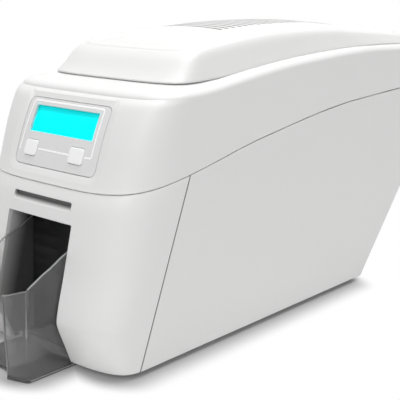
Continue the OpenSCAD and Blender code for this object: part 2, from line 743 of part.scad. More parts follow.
module idler(y, teeth, turn) {
  difference() {
    union() {
      gear(gear_x0, gear_x1, y, roller_z, teeth, turn);
      rod(gear_x1 - 1, gear_x1 + 1.6, y, roller_z, 5);
    }
    rod(-70, -55, y, roller_z, shaft_r + run);
    if (teeth > 30) for (a = [0:60:300]) rod(-70, -60, y + 14 * cos(a), roller_z + 14 * sin(a), 4);
  }
}

module idler_front() {
  color("ivory") idler(exit_y + 24, roller_teeth, 7.5);
}

module idler_middle() {
  color("ivory") idler(feed_y + 24, roller_teeth, 7.5);
}

module idler_rear() {
  color("ivory") idler(motor_y, roller_teeth, 7.5);
}

module idler_large() {
  color("ivory") idler(transport_y + 36, large_teeth, 3.75);
}

module feed_motor() {
  color("silver") difference() {
    union() {
      rod(-plate_x + 0.1, -26, motor_y, motor_z, 17.5);
      rod(-plate_o - 0.8, -plate_x + 1, motor_y, motor_z, 7.5);
      box(-38, -29, motor_y - 7, motor_y + 7, motor_z - 21, motor_z - 10);
    }
    rod(-70, -44, motor_y, motor_z, 2.5 + run);
  }
}

module motor_pinion() {
  color("goldenrod") {
    gear(gear_x0, gear_x1, motor_y, motor_z, pinion_teeth, 0);
    rod(gear_x1 - 1, -46, motor_y, motor_z, 2.5);
  }
}

module pinch(y) {
  rod(-33.6, 33.6, y, pinch_z, 2);
  for (x = [-22, 8]) rod(x, x + 14, y, pinch_z, pinch_r);
}

module pinch_front() {
  color("dimgray") pinch(feed_y);
}

module pinch_rear() {
  color("dimgray") pinch(transport_y);
}

guide_z = 105;
module card_guide() {
  color("darkslategray") difference() {
    union() {
      box(-plate_x + 1.4, plate_x - 1.4, -124, 88, guide_z, guide_z + 1.6);
      pair() box(27.6, 29.6, -124, 88, guide_z, 108.5);
      pair() box(27.6, 29.6, -124, -30, guide_z, 110.8);
      pair() box(27.6, 29.6, 24, 88, guide_z, 110.8);
      pair() for (y = [feed_y, transport_y]) box(30.6, 33, y - 4.5, y + 4.5, guide_z, 117.6);
    }
    for (y = [exit_y, feed_y, platen_y, transport_y]) box(-27, 27, y - 7.4, y + 7.4, 100, 112);
    for (y = [feed_y, transport_y]) rod(-36, 36, y, pinch_z, 2 + run);
    pair() for (y = [-88, -40, 8]) box(36, 52, y, y + 28, 100, 112);
  }
}

// ---- hopper ---------------------------------------------------------------------------------

module card_hopper() {
  color("darkslategray") difference() {
    union() {
      box(-30, 30, hopper_y0 - 2, hopper_y1 + 2, hopper_floor - 2, 176);
      box(-56.6, 56.6, 128, 146, hopper_floor - 3.6, hopper_floor - 1.6);
    }
    box(-28, 28, hopper_y0, hopper_y1, hopper_floor, 200);
    box(-26.6, 26.6, pick_y - 7.4, pick_y + 7.4, 100, 112);
    box(-27.6, 27.6, hopper_y0 - 4, hopper_y0 + 1, hopper_floor, hopper_floor + 1.6);
    box(-12, 12, hopper_y0 - 4, hopper_y0 + 1, 126, 200);
    pair() box(20, 40, 124, 150, 140, 200);
    on_rear() box(-70, 70, -5.5, 20, -50, 300);
  }
}

stack_z = hopper_floor + 0.1;
stack_top = stack_z + cards * card_t;
module blank_cards() {
  color("white") translate([0, hopper_y0 + 0.45, stack_z]) {
    for (i = [0:cards - 1]) translate([i % 2 == 0 ? 0 : 0.12, 0, i * card_t])
      linear_extrude(card_t) translate([0, card_l / 2]) round_rect(card_w, card_l, 3.2);
  }
}

module card_weight() {
  color("dimgray") {
    translate([0, hopper_y0 + card_l / 2, stack_top + 0.1]) linear_extrude(4)
      round_rect(52, 78, 3);
    box(-3, 3, 110, 160, stack_top + 3, stack_top + 16);
    box(-14, 14, 128, 142, stack_top + 3, stack_top + 9);
  }
}

// ---- ribbon ---------------------------------------------------------------------------------

module ribbon_cassette() {
  color("ivory") difference() {
    union() {
      pair() side(53.2, 55.2) polygon([[-99, 126], [88, 126], [88, 152], [78, 164], [54, 164],
        [44, 140], [-46, 140], [-58, 164], [-82, 164], [-99, 150]]);
      box(-54, 54, -99, -96, 126, 133);
      box(-54, 54, 85, 88, 126, 131);
      box(-10, 10, -99, -96, 126, 150);
      pair() box(53.2, 56.6, -30, 26, 132, 136);
    }
    for (y = [take_y, supply_y]) rod(-60, 60, y, spool_z, 4 + run);
    rod(50, 60, rpin_y, rpin_z, 4);
  }
}

module spool(y, wound) {
  rod(-56, 56, y, spool_z, 4);
  rod(-52, 52, y, spool_z, 8);
  rod(-ribbon_hw, ribbon_hw, y, spool_z, wound);
  for (x = [-52, -32.5, 31]) rod(x, x + 1.5, y, spool_z, flange_r);
}

module supply_spool() {
  color("midnightblue") {
    spool(supply_y, full_r);
    rod(50, 52, supply_y, spool_z, flange_r);
  }
}

module takeup_spool() {
  color("midnightblue") {
    spool(take_y, used_r);
    gear(49.8, 52.2, take_y, spool_z, spool_teeth, 5);
  }
}

film_z = 109.3;
module ribbon_film() {
  t = 0.25;
  color("darkmagenta") side(-ribbon_hw, ribbon_hw) polygon([[supply_y - 5, 132.8], [17, film_z],
    [-21, film_z], [take_y + 3, 138], [take_y + 3, 138 + t], [-21, film_z + t],
    [17, film_z + t], [supply_y - 5, 132.8 + t]]);
}

module ribbon_motor() {
  color("silver") difference() {
    union() {
      rod(plate_o + 0.1, body_hw - wall - 4.1, rpin_y, rpin_z, 12);
      rod(plate_x + 0.3, plate_o + 1, rpin_y, rpin_z, 3.8);
      box(plate_o + 0.1, plate_o + 1.6, rpin_y - 16, rpin_y + 16, rpin_z - 4, rpin_z + 4);
    }
    rod(50, body_hw - wall - 10, rpin_y, rpin_z, 1.5 + run);
  }
}

module ribbon_pinion() {
  color("goldenrod") {
    gear(49.6, 52.4, rpin_y, rpin_z, pinion_teeth, 5);
    rod(50, body_hw - wall - 12, rpin_y, rpin_z, 1.5);
  }
}

// ---- hood -----------------------------------------------------------------------------------

lid_gap = 0.32;
hood_steps = [[0, 0, 0, 0], [0, 0, 0, 1], [6, 2, 1.5, 2], [15, 5, 4, 3], [22.2, 8, 7.2, 4],
  [24, 9.8, 8.8, 5], [28, 14, 12, 6]];
// Rings of the hood: inset at the front, sides and rear, then the height between base and top
function hood_level(s, y) = let (b = deck_z(y) + lid_gap, t = hood_z(y))
  s == 0 ? b : s == 1 ? b + hood_skirt
  : s == 2 ? mix(b + hood_skirt, t, 0.34) : s == 3 ? mix(b + hood_skirt, t, 0.8)
  : s == 4 ? t - 0.9 : s == 5 ? t : t + 0.5;
function hood_ring(s, w) = let (o = outline(hood_hw - s[1] - w, hood_y0 + s[0] + w,
    26 - s[0] / 5, hood_y1 - s[2] - w, 10))
  [for (p = o) [p[0], p[1], hood_level(s[3], p[1]) - (s[3] > 2 ? w : 0)]];
function crown_ring(f, w) = let (r = hood_ring([28, 14, 12, 6], w), e = hood_hw - 14 - w)
  [for (p = r) let (q = 1 - f * f) [p[0] * f, mix(45, p[1], mix(0.75, 1, f)),
    hood_z(mix(45, p[1], mix(0.75, 1, f))) + 0.5 + (hood_crown - 0.5) * q - w]];

module lid_hood() {
  color("white") difference() {
    union() {
      difference() {
        loft(concat([for (s = hood_steps) hood_ring(s, 0)],
          [for (f = [0.7, 0.35, 0.04]) crown_ring(f, 0)]), false);
        loft(concat([hood_ring([0, 0, 0, 0], wall) - [for (i = [1:68]) [0, 0, 5]]],
          [for (i = [1:6]) hood_ring(hood_steps[i], wall)],
          [for (f = [0.7, 0.35, 0.04]) crown_ring(f, wall)]), false);
      }
      pair() {
        rod(36.3, 43.7, hinge_y, hinge_z, knuckle_r);
        box(36.3, 43.7, hood_y1 - 2.4, hinge_y, hinge_z - 2.6, hinge_z + 1.6);
      }
      // bosses that carry the liner
      for (x = [-46, 46], y = [-76, 40, 160]) translate([x, y, 192.65])
        cylinder(h = hood_z(y) - 194.2, r = 3.4);
    }
    pair() rod(36, 44, hinge_y, hinge_z, 2 + run);
    // vent slots across the crown
    for (i = [0:vent_n - 1]) box(-vent_hw, vent_hw, vent_y0 + i * vent_p,
      vent_y0 + i * vent_p + vent_p * 0.45, 200, 230);
  }
}
vent_n = 20;
vent_hw = 30;
vent_y0 = -31;
vent_p = 7.5;

module lid_liner() {
  color("gainsboro") difference() {
    union() {
      translate([0, 0, 190.6]) linear_extrude(2)
        polygon(outline(57.5, hood_y0 + 14, 22, hood_y1 - 15.5, 8));
      pair() box(50, 52, -84, hood_y1 - 27.5, 190.6, 196);
      for (x = [-46, 46], y = [-76, 40, 160]) translate([x, y, 190.6]) cylinder(h = 2, r = 5);
      box(-44, 44, -24, -22, 188.6, 192);
      box(-44, 44, 18, 20, 188.6, 192);
    }
    for (x = [-46, 46], y = [-76, 40, 160]) translate([x, y, 180]) cylinder(h = 30, r = 1.7);
    box(-36, 36, 50, 150, 180, 200);
    box(-36, 36, -80, -34, 180, 200);
    pair() for (y = [-60, 0, 60, 120]) box(53.5, 70, y, y + 4, 180, 200);
  }
}

module hinge_pins() {
  color("silver") pair() rod(30.4, 49.6, hinge_y, hinge_z, 2);
}

head_y0 = -20;
head_y1 = 16;
module printhead_carrier() {
  color("darkslategray") difference() {
    union() {
      box(-36, 36, head_y0, head_y1, 186.2, 190.4);
      pair() box(33.5, 36, head_y0 + 4, head_y1 - 4, 126, 188);
      pair() box(33.5, 36, head_y0, head_y1, 118, 146);
      box(-36, 36, head_y0, head_y0 + 2, 150, 188);
      box(-36, 36, head_y1 - 2, head_y1, 150, 188);
      box(-35, 35, head_y0 + 1, head_y1 - 1, 150, 152.4);
    }
    for (y = [head_y0 - 1, head_y1 - 3]) for (x = [-24, 0, 24]) box(x - 8, x + 8, y, y + 4, 158, 178);
    for (x = [-20, 20]) translate([x, platen_y, 140]) cylinder(h = 20, r = 2.2);
  }
}

module printhead() {
  color("silver") {
    box(-32.6, 32.6, head_y0 + 4, head_y1 - 4, 120, 126);
    for (i = [0:10]) box(-32 + i * 6.2, -30.4 + i * 6.2, head_y0 + 4, head_y1 - 4, 125.9, 140);
    side(-32, 32) polygon([[-9, 120.1], [5, 120.1], [1, 111.4], [-1, 110.2], [-3, 110.2],
      [-5, 111.4]]);
    // guide pins
    for (x = [-20, 20]) translate([x, platen_y, 125]) cylinder(h = 30.8, r = 2);
  }
}

module printhead_springs() {
  color("silver") for (x = [-20, 20]) translate([x, platen_y, 140.3]) {
    for (i = [0:4]) translate([0, 0, i * 1.9]) rotate_extrude() translate([3.4, 0.8]) circle(0.55);
  }
}

// ---- electronics ------------------------------------------------------------------------------

module main_board() {
  color("darkgreen") {
    difference() {
      box(-44, 44, -98, 54, 14, 15.6);
      for (x = [-38, 38], y = [-92, 48]) translate([x, y, 10]) cylinder(h = 10, r = 1.7);
    }
    box(-16, 6, -10, 12, 15.5, 18);
    box(18, 34, 0, 14, 15.5, 17);
    box(-36, -24, 24, 44, 15.5, 22);
    for (i = [0:3]) translate([14 + i * 9, 36, 15.5]) cylinder(h = 12, r = 3.6);
    for (i = [0:4]) box(-38 + i * 12, -30 + i * 12, -88, -82, 15.5, 22);
  }
}

module port_board() {
  color("darkgreen") on_rear() difference() {
    box(-plate_x + 0.4, 22, -24.6, -23, 9, 56);
    for (x = [-54, 18], z = [13, 52]) translate([x, -30, z]) rotate([-90, 0, 0])
      cylinder(h = 10, r = 1.6);
  }
}

module dc_inlet() {
  color("black") on_rear() difference() {
    box(-55.7, -44.3, -22.8, -0.4, 16.3, 27.7);
    translate([-50, -18, 22]) rotate([-90, 0, 0]) cylinder(h = 20, r = 4);
  }
  color("black") on_rear() translate([-50, -18.5, 22]) rotate([-90, 0, 0]) cylinder(h = 15, r = 1);
}

module usb_socket() {
  color("silver") on_rear() {
    difference() {
      box(-30.7, -18.1, -22.8, -0.4, 16.3, 28.1);
      box(-28.8, -20, -14, 1, 18.2, 26.2);
    }
    box(-27.2, -21.6, -15, -3, 20.6, 23.6);
  }
}

module ethernet_socket() {
  color("silver") on_rear() difference() {
    box(-6.7, 9.7, -22.8, -0.4, 16.3, 30.7);
    box(-4.4, 7.4, -14, 1, 18.4, 26.4);
    box(-1.6, 4.6, -14, 1, 26.3, 28.6);
  }
}

module switch_body() {
  color("black") on_rear() difference() {
    union() {
      box(30.2, 49.8, -20, -0.1, 15.6, 28.4);
      box(28.6, 51.4, 0.05, 1.3, 14, 30);
    }
    box(31.8, 48.2, -11, 3, 17, 27);
    translate([40, -3.4, 15.9]) cylinder(h = 12.2, r = 1.2 + run);
  }
}

// The rocker turns on an axis along the slope, halfway across its frame
module power_rocker() {
  color("black") on_rear() {
    translate([40, -3.4, 17.3]) linear_extrude(9.4) polygon([[-7.4, 0.4], [-7, 4.6], [0, 3],
      [7, 2.6], [7.4, -1], [3.4, -4.4], [-3.4, -4.4]]);
    translate([40, -3.4, 16.2]) cylinder(h = 11.6, r = 1.2);
  }
}

base_pan();
rubber_feet();
front_cover();
side_panel_left();
side_panel_right();
upper_housing();
rear_panel();
case_screws();
display_bezel();
display_window();
display_lcd();
control_board();
button_left();
button_right();
slot_guide();
stacker_bay();
card_stacker();
chassis_plate_left();
chassis_plate_right();
roller_bushings();
card_guide();
feed_motor();
motor_pinion();
exit_roller();
feed_roller();
platen_roller();
transport_roller();
pick_roller();
idler_front();
idler_middle();
idler_rear();
idler_large();
pinch_front();
pinch_rear();
card_hopper();
blank_cards();
card_weight();
ribbon_cassette();
supply_spool();
takeup_spool();
ribbon_film();
ribbon_motor();
ribbon_pinion();
lid_hood();
lid_liner();
hinge_pins();
printhead_carrier();
printhead();
printhead_springs();
main_board();
port_board();
dc_inlet();
usb_socket();
ethernet_socket();
switch_body();
power_rocker();
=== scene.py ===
import json
import bpy
import bmesh
import numpy as np
from math import atan, cos, hypot, pi, radians, sin, sqrt, tan
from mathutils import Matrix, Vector


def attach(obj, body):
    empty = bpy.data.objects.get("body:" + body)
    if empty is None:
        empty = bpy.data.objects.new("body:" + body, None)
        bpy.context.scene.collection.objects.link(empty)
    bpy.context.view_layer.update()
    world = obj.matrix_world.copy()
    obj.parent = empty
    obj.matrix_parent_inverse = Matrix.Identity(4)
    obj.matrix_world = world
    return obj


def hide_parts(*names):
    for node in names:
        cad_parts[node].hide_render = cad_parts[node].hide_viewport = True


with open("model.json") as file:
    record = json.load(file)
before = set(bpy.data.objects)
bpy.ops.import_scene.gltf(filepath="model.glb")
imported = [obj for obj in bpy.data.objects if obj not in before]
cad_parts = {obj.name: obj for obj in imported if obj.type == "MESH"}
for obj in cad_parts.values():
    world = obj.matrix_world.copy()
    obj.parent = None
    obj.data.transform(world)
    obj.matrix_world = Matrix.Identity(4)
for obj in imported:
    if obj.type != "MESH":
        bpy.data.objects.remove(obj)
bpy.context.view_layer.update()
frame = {"record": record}
MM = 0.001
scene = bpy.context.scene

# ------------ node trees


def fill(tree, socket, value):
    """Links a socket to another node's output, or sets it to a constant."""
    if hasattr(value, "is_output"):
        tree.links.new(value, socket)
    elif value is not None:
        socket.default_value = value


def add_node(tree, kind, **inputs):
    """A new shader node with its inputs filled; an underscore stands for a space."""
    node = tree.nodes.new(kind if "Node" in kind else "ShaderNode" + kind)
    for label, value in inputs.items():
        fill(tree, node.inputs[label.replace("_", " ")], value)
    return node


def calc(tree, operation, a, b=None):
    node = tree.nodes.new("ShaderNodeMath")
    node.operation = operation
    fill(tree, node.inputs[0], a)
    fill(tree, node.inputs[1], b)
    return node.outputs[0]


def grey(value):
    return (value, value, value)


def mix_colour(tree, factor, a, b):
    """Blends two colours, each given as a socket or as red, green and blue."""
    node = tree.nodes.new("ShaderNodeMix")
    node.data_type = "RGBA"
    fill(tree, node.inputs[0], factor)
    for socket, colour in ((node.inputs[6], a), (node.inputs[7], b)):
        fill(tree, socket, (*colour, 1) if isinstance(colour, tuple) else colour)
    return node.outputs[2]


def object_point(tree):
    return tree.nodes.new("ShaderNodeTexCoord").outputs["Object"]


def position(tree):
    """The piece's own x, y and z at the point that is shaded."""
    return add_node(tree, "SeparateXYZ", Vector=object_point(tree)).outputs


def position_mask(tree, axis, low, high):
    """1 where the piece's own coordinate lies between low and high."""
    value = position(tree)[axis]
    return calc(tree, "MULTIPLY", calc(tree, "GREATER_THAN", value, low),
                calc(tree, "LESS_THAN", value, high))


def ramp(tree, value, low, high, start=0.0, kind="LINEAR"):
    """Rises from start to 1 while the value goes from low to high."""
    node = add_node(tree, "MapRange", Value=value, From_Min=low, From_Max=high, To_Min=start)
    node.interpolation_type = kind
    return node.outputs["Result"]


# ------------ camera, floor and light

LIGHT_AIM = Vector((0.0, 0.0, 0.1))
FLOOR_REACH = 6000      # millimetres
# footprints that cast the shadow: half width, front and rear, before their edge is added
BODY_PRINT, BIN_PRINT, PRINT_EDGE = (0.058, -0.170, 0.080), (0.013, -0.212, -0.150), 0.02
PRINT_STRETCH = 1.5      # lengths along Y count more, so the shadow is narrower there
SHADOW_REACH, LEAST_WHITE = 0.025, 0.10


def add_object(name, data):
    thing = bpy.data.objects.new(name, data)
    scene.collection.objects.link(thing)
    return thing


def place_camera():
    """The photograph's view: from the front right, a little above, with a long lens."""
    data = bpy.data.cameras.new("view")
    data.sensor_width = 36.0
    data.lens = 82.85
    data.shift_x = 0.0011
    data.shift_y = -0.0058
    data.clip_start = 0.02
    data.clip_end = 40.0
    camera = add_object("view", data)
    yaw, pitch = radians(42.116), radians(14.075)
    camera.location = Vector((479.5, -550.8, 260.3)) * MM
    camera.rotation_euler = (pi / 2 - pitch, 0.0, yaw)
    scene.camera = camera


def place_light(name, where, size, power):
    data = bpy.data.lights.new(name, "AREA")
    data.shape = "DISK"
    data.size = size
    data.energy = power
    lamp = add_object(name, data)
    lamp.location = where
    lamp.rotation_euler = (LIGHT_AIM - Vector(where)).to_track_quat("-Z", "Y").to_euler()


def white_for_camera(tree, surface, plain, strength):
    """Shows plain white to camera, mirror and glass rays, and the real surface to the rest."""
    rays = tree.nodes.new("ShaderNodeLightPath").outputs
    seen = calc(tree, "MAXIMUM", rays["Is Camera Ray"], rays["Is Glossy Ray"])
    seen = calc(tree, "MAXIMUM", seen, rays["Is Transmission Ray"])
    mix = tree.nodes.new("ShaderNodeMixShader")
    share = calc(tree, "MULTIPLY", seen, strength)
    for socket, value in zip(mix.inputs, (share, surface, plain)):
        tree.links.new(value, socket)
    return mix.outputs[0]


def light_the_room():
    """An even white room and three soft lamps, the strongest of them above the printer."""
    scene.view_settings.view_transform = "Standard"
    world = bpy.data.worlds.new("studio")
    scene.world = world
    world.use_nodes = True
    tree = world.node_tree
    tree.nodes.clear()
    room, white = (add_node(tree, "Background", Color=(1.0, 1.0, 1.0, 1.0),
                            Strength=strength).outputs[0] for strength in (0.22, 1.0))
    add_node(tree, "OutputWorld", Surface=white_for_camera(tree, room, white, 1.0))
    place_light("key", (1.0, -1.9, 1.9), 1.6, 24.0)
    place_light("top", (0.1, 0.3, 2.6), 2.2, 57.0)
    place_light("side", (2.4, 0.7, 1.0), 1.6, 1.0)


def distance_from(tree, place, half_width, front, rear):
    """How far a floor point lies from a footprint with rounded corners."""
    away = []
    rows = ((place[0], 0.0, half_width, 1.0),
            (place[1], (front + rear) / 2, (rear - front) / 2, PRINT_STRETCH))
    for value, middle, reach, scale in rows:
        offset = calc(tree, "ABSOLUTE", calc(tree, "SUBTRACT", value, middle))
        over = calc(tree, "MAXIMUM", calc(tree, "SUBTRACT", offset, reach), 0.0)
        away.append(calc(tree, "POWER", calc(tree, "MULTIPLY", over, scale), 2.0))
    return calc(tree, "SUBTRACT", calc(tree, "SQRT", calc(tree, "ADD", *away)), PRINT_EDGE)


def lay_floor():
    """A plain white floor that shows the printer's shadow only near its footprint."""
    floor = mesh_object("floor", [(x * FLOOR_REACH, y * FLOOR_REACH, 0) for x, y in
                                  ((-1, -1), (1, -1), (1, 1), (-1, 1))], [(0, 1, 2, 3)])
    material, tree, _ = start_material("floor_white")
    tree.nodes.clear()
    # darker to the camera than to other rays, which makes the shadow deeper but not the printer
    seen = tree.nodes.new("ShaderNodeLightPath").outputs["Is Camera Ray"]
    base = add_node(tree, "BsdfDiffuse", Color=mix_colour(tree, seen, grey(0.92), grey(0.42)))
    white = add_node(tree, "Emission", Strength=1.0)
    place = position(tree)
    away = calc(tree, "MINIMUM", distance_from(tree, place, *BODY_PRINT),
                distance_from(tree, place, *BIN_PRINT))
    share = ramp(tree, away, 0.0, SHADOW_REACH, LEAST_WHITE, "SMOOTHSTEP")
    add_node(tree, "OutputMaterial",
             Surface=white_for_camera(tree, base.outputs[0], white.outputs[0], share))
    floor.data.materials.append(material)


# ------------ finishes


def new_group(name, inputs, outputs):
    """A node group, with the outputs that give its values and the inputs that take its results."""
    tree = bpy.data.node_groups.new(name, "ShaderNodeTree")
    for label, kind, value in inputs:
        socket = tree.interface.new_socket(label, in_out="INPUT", socket_type=kind)
        socket.default_value = value
    for label, kind in outputs:
        tree.interface.new_socket(label, in_out="OUTPUT", socket_type=kind)
    return (tree, tree.nodes.new("NodeGroupInput").outputs,
            tree.nodes.new("NodeGroupOutput").inputs)


def build_moulded_surface():
    """Fine grain, slow colour drift, softened edges and paler worn edges."""
    colour, number, normal = "NodeSocketColor", "NodeSocketFloat", "NodeSocketVector"
    tree, given, out = new_group("moulded_surface", [
        ("Colour", colour, (0.8, 0.8, 0.8, 1)), ("Worn colour", colour, (0.9, 0.9, 0.9, 1)),
        ("Drift", number, 0.03), ("Wear", number, 0.2), ("Roughness", number, 0.4),
        ("Spread", number, 0.1), ("Grain", number, 0.2), ("Edge", number, 0.0006)],
        [("Colour", colour), ("Roughness", number), ("Normal", normal)])
    where = object_point(tree)
    grain = add_node(tree, "TexNoise", Vector=where, Detail=2.0, Scale=2500.0)
    slow = add_node(tree, "TexNoise", Vector=where, Detail=3.0, Scale=14.0).outputs["Fac"]
    bevel = add_node(tree, "Bevel", Radius=given["Edge"])
    bevel.samples = 4
    soft = bevel.outputs["Normal"]
    bump = add_node(tree, "Bump", Distance=0.0001, Strength=given["Grain"],
                    Height=grain.outputs["Fac"], Normal=soft)
    alike = tree.nodes.new("ShaderNodeVectorMath")
    alike.operation = "DOT_PRODUCT"
    tree.links.new(soft, alike.inputs[0])
    tree.links.new(tree.nodes.new("ShaderNodeNewGeometry").outputs["Normal"], alike.inputs[1])
    # near an edge the softened normal leaves the true one, and there the plastic is rubbed
    edge = calc(tree, "SUBTRACT", 1.0, alike.outputs["Value"])
    edge = calc(tree, "MINIMUM", calc(tree, "MULTIPLY", edge, 6.0), 1.0)
    rub = calc(tree, "MULTIPLY", calc(tree, "MULTIPLY", edge, slow), given["Wear"])
    vary = calc(tree, "SUBTRACT", slow, 0.5)
    drift = calc(tree, "MULTIPLY", vary, given["Drift"])
    bright = add_node(tree, "HueSaturation", Color=given["Colour"],
                      Value=calc(tree, "ADD", drift, 1.0))
    spread = calc(tree, "MULTIPLY", vary, given["Spread"])
    fill(tree, out["Colour"], mix_colour(tree, rub, bright.outputs["Color"], given["Worn colour"]))
    fill(tree, out["Roughness"], calc(tree, "ADD", given["Roughness"], spread))
    fill(tree, out["Normal"], bump.outputs["Normal"])
    return tree


def build_brushed_lines():
    """Fine parallel lines for drawn, rolled or turned metal, stretched along one axis."""
    number = "NodeSocketFloat"
    tree, given, out = new_group("brushed_lines", [
        ("Stretch", "NodeSocketVector", (1.0, 1.0, 1.0)), ("Size", number, 900.0)],
        [("Mask", number)])
    mapping = add_node(tree, "Mapping", Vector=object_point(tree), Scale=given["Stretch"])
    lines = add_node(tree, "TexNoise", Vector=mapping.outputs[0], Detail=3.0, Scale=given["Size"])
    fill(tree, out["Mask"], lines.outputs["Fac"])
    return tree


moulded_surface = build_moulded_surface()
brushed_lines = build_brushed_lines()


def start_material(name):
    material = bpy.data.materials.new(name)
    material.use_nodes = True
    tree = material.node_tree
    return material, tree, tree.nodes["Principled BSDF"]


def add_surface(tree, shader, colour, worn, rough, **values):
    """Feeds the shader from the moulded surface; the colour is a socket or a tuple."""
    group = tree.nodes.new("ShaderNodeGroup")
    group.node_tree = moulded_surface
    values.update(Worn_colour=(*worn, 1), Roughness=rough,
                  Colour=(*colour, 1) if isinstance(colour, tuple) else colour)
    for label, value in values.items():
        fill(tree, group.inputs[label.replace("_", " ")], value)
    for source, target in (("Colour", "Base Color"), ("Roughness", "Roughness"),
                           ("Normal", "Normal")):
        tree.links.new(group.outputs[source], shader.inputs[target])
    return group


def plastic(name, colour, rough, worn=None, light=0.0, **values):
    material, tree, shader = start_material(name + "_finish")
    shader.inputs["Emission Strength"].default_value = light
    add_surface(tree, shader, colour, worn or tuple(min(1, c * 1.15 + 0.02) for c in colour),
                rough, **values)
    return material


def metal(name, colour, rough, stretch, size=900.0):
    material, tree, shader = start_material(name + "_finish")
    shader.inputs["Metallic"].default_value = 1.0
    group = tree.nodes.new("ShaderNodeGroup")
    group.node_tree = brushed_lines
    group.inputs["Stretch"].default_value = stretch
    group.inputs["Size"].default_value = size
    lines = group.outputs["Mask"]
    tone = mix_colour(tree, lines, tuple(c * 0.82 for c in colour), colour)
    skin = add_surface(tree, shader, tone, tuple(min(1, c * 1.2) for c in colour), rough,
                       Grain=0.1, Spread=0.2, Wear=0.3, Edge=0.0003)
    bump = add_node(tree, "Bump", Strength=0.15, Distance=0.00005, Height=lines,
                    Normal=skin.outputs["Normal"])
    tree.links.new(bump.outputs["Normal"], shader.inputs["Normal"])
    return material


def roller_finish():
    """Ground rubber in the middle, steel shaft, and a moulded gear on the left end."""
    material, tree, shader = start_material("roller_finish")
    rubber = position_mask(tree, 0, -0.0261, 0.0261)
    gear = position_mask(tree, 0, -0.0672, -0.0598)
    tone = mix_colour(tree, rubber, (0.55, 0.56, 0.57), (0.045, 0.045, 0.05))
    tone = mix_colour(tree, gear, tone, (0.72, 0.70, 0.63))
    add_surface(tree, shader, tone, grey(0.3), 0.5, Grain=0.4, Wear=0.1, Edge=0.0003)
    soft = calc(tree, "MAXIMUM", rubber, gear)
    tree.links.new(calc(tree, "SUBTRACT", 1.0, soft), shader.inputs["Metallic"])
    return material


def board_finish():
    """Green solder mask with fine tracks, and dark components above the surface."""
    material, tree, shader = start_material("board_finish")
    tracks = add_node(tree, "TexBrick", Vector=object_point(tree),
                      Color1=(0.012, 0.13, 0.045, 1), Color2=(0.016, 0.16, 0.06, 1),
                      Mortar=(0.03, 0.24, 0.10, 1), Scale=180.0, Mortar_Size=0.06)
    parts = position_mask(tree, 2, 0.01565, 0.0500)
    tone = mix_colour(tree, parts, tracks.outputs["Color"], (0.02, 0.02, 0.022))
    add_surface(tree, shader, tone, (0.5, 0.5, 0.45), 0.35, Grain=0.1, Wear=0.2, Edge=0.0003)
    return material


def screen_finish():
    """Lit cyan display with a fine cell grid, in shade along its top edge."""
    material, tree, shader = start_material("screen_finish")
    cells = add_node(tree, "TexBrick", Vector=object_point(tree),
                     Color1=(0.0, 0.93, 0.96, 1), Color2=(0.0, 0.96, 1.0, 1),
                     Mortar=(0.0, 0.86, 0.90, 1), Scale=900.0, Mortar_Size=0.04)
    cells.offset = 0.0
    shade = ramp(tree, position(tree)[2], 0.1592, 0.1645)
    tone = mix_colour(tree, shade, cells.outputs["Color"], (0.006, 0.50, 0.51))
    for label, value in (("Base Color", tone), ("Emission Color", tone), ("Roughness", 0.35),
                         ("Emission Strength", 0.5), ("Specular IOR Level", 0.05)):
        fill(tree, shader.inputs[label], value)
    return material


def clear_finish(name, colour, rough, clear, bend):
    """Clear moulded plastic with faint flow marks."""
    material, tree, shader = start_material(name + "_finish")
    add_surface(tree, shader, colour, tuple(min(1, c + 0.25) for c in colour), rough,
                Grain=0.03, Spread=0.04, Wear=0.6, Drift=0.05,
                Edge=0.0008)
    shader.inputs["Transmission Weight"].default_value = clear
    shader.inputs["IOR"].default_value = bend
    return material


def bay_finish():
    """Black plastic of the bay, paler towards its back."""
    material, tree, shader = start_material("bay_finish")
    deep = ramp(tree, position(tree)[1], -0.160, -0.124)
    tone = mix_colour(tree, deep, grey(0.004), grey(0.22))
    add_surface(tree, shader, tone, grey(0.08), 0.7, Grain=0.25)
    shader.inputs["Specular IOR Level"].default_value = 0.25
    return material


COVER_WHITE = (0.80, 0.80, 0.795)
# the front cover's face in metres: a point on it above the bay, and its lean
FACE_Y, FACE_Z, FACE_LEAN = -0.1815, 0.0978, 0.2754
SLOT_HW, SLOT_LOW, SLOT_HIGH = 0.0303, 0.1001, 0.1119
# the front cover's joint with the side panels: its lean, and the two sides of its painted shade
JOINT_LEAN, JOINT_FRONT, JOINT_REAR = 0.3942, -0.1678, -0.1674


def depth_in_cover(tree, place):
    """How far a point lies behind the front cover's face."""
    skin = calc(tree, "MULTIPLY", calc(tree, "SUBTRACT", place[2], FACE_Z), FACE_LEAN)
    return calc(tree, "SUBTRACT", calc(tree, "ADD", place[1], -FACE_Y), skin)


def lip_finish():
    """The cover's white on the bay's lips, falling into shade with depth."""
    material, tree, shader = start_material("lip_finish")
    fall = ramp(tree, depth_in_cover(tree, position(tree)), 0.001, 0.019)
    tone = mix_colour(tree, fall, (0.74, 0.74, 0.735), grey(0.07))
    add_surface(tree, shader, tone, grey(0.5), 0.5, Drift=0.02, Grain=0.12, Wear=0.1)
    return material


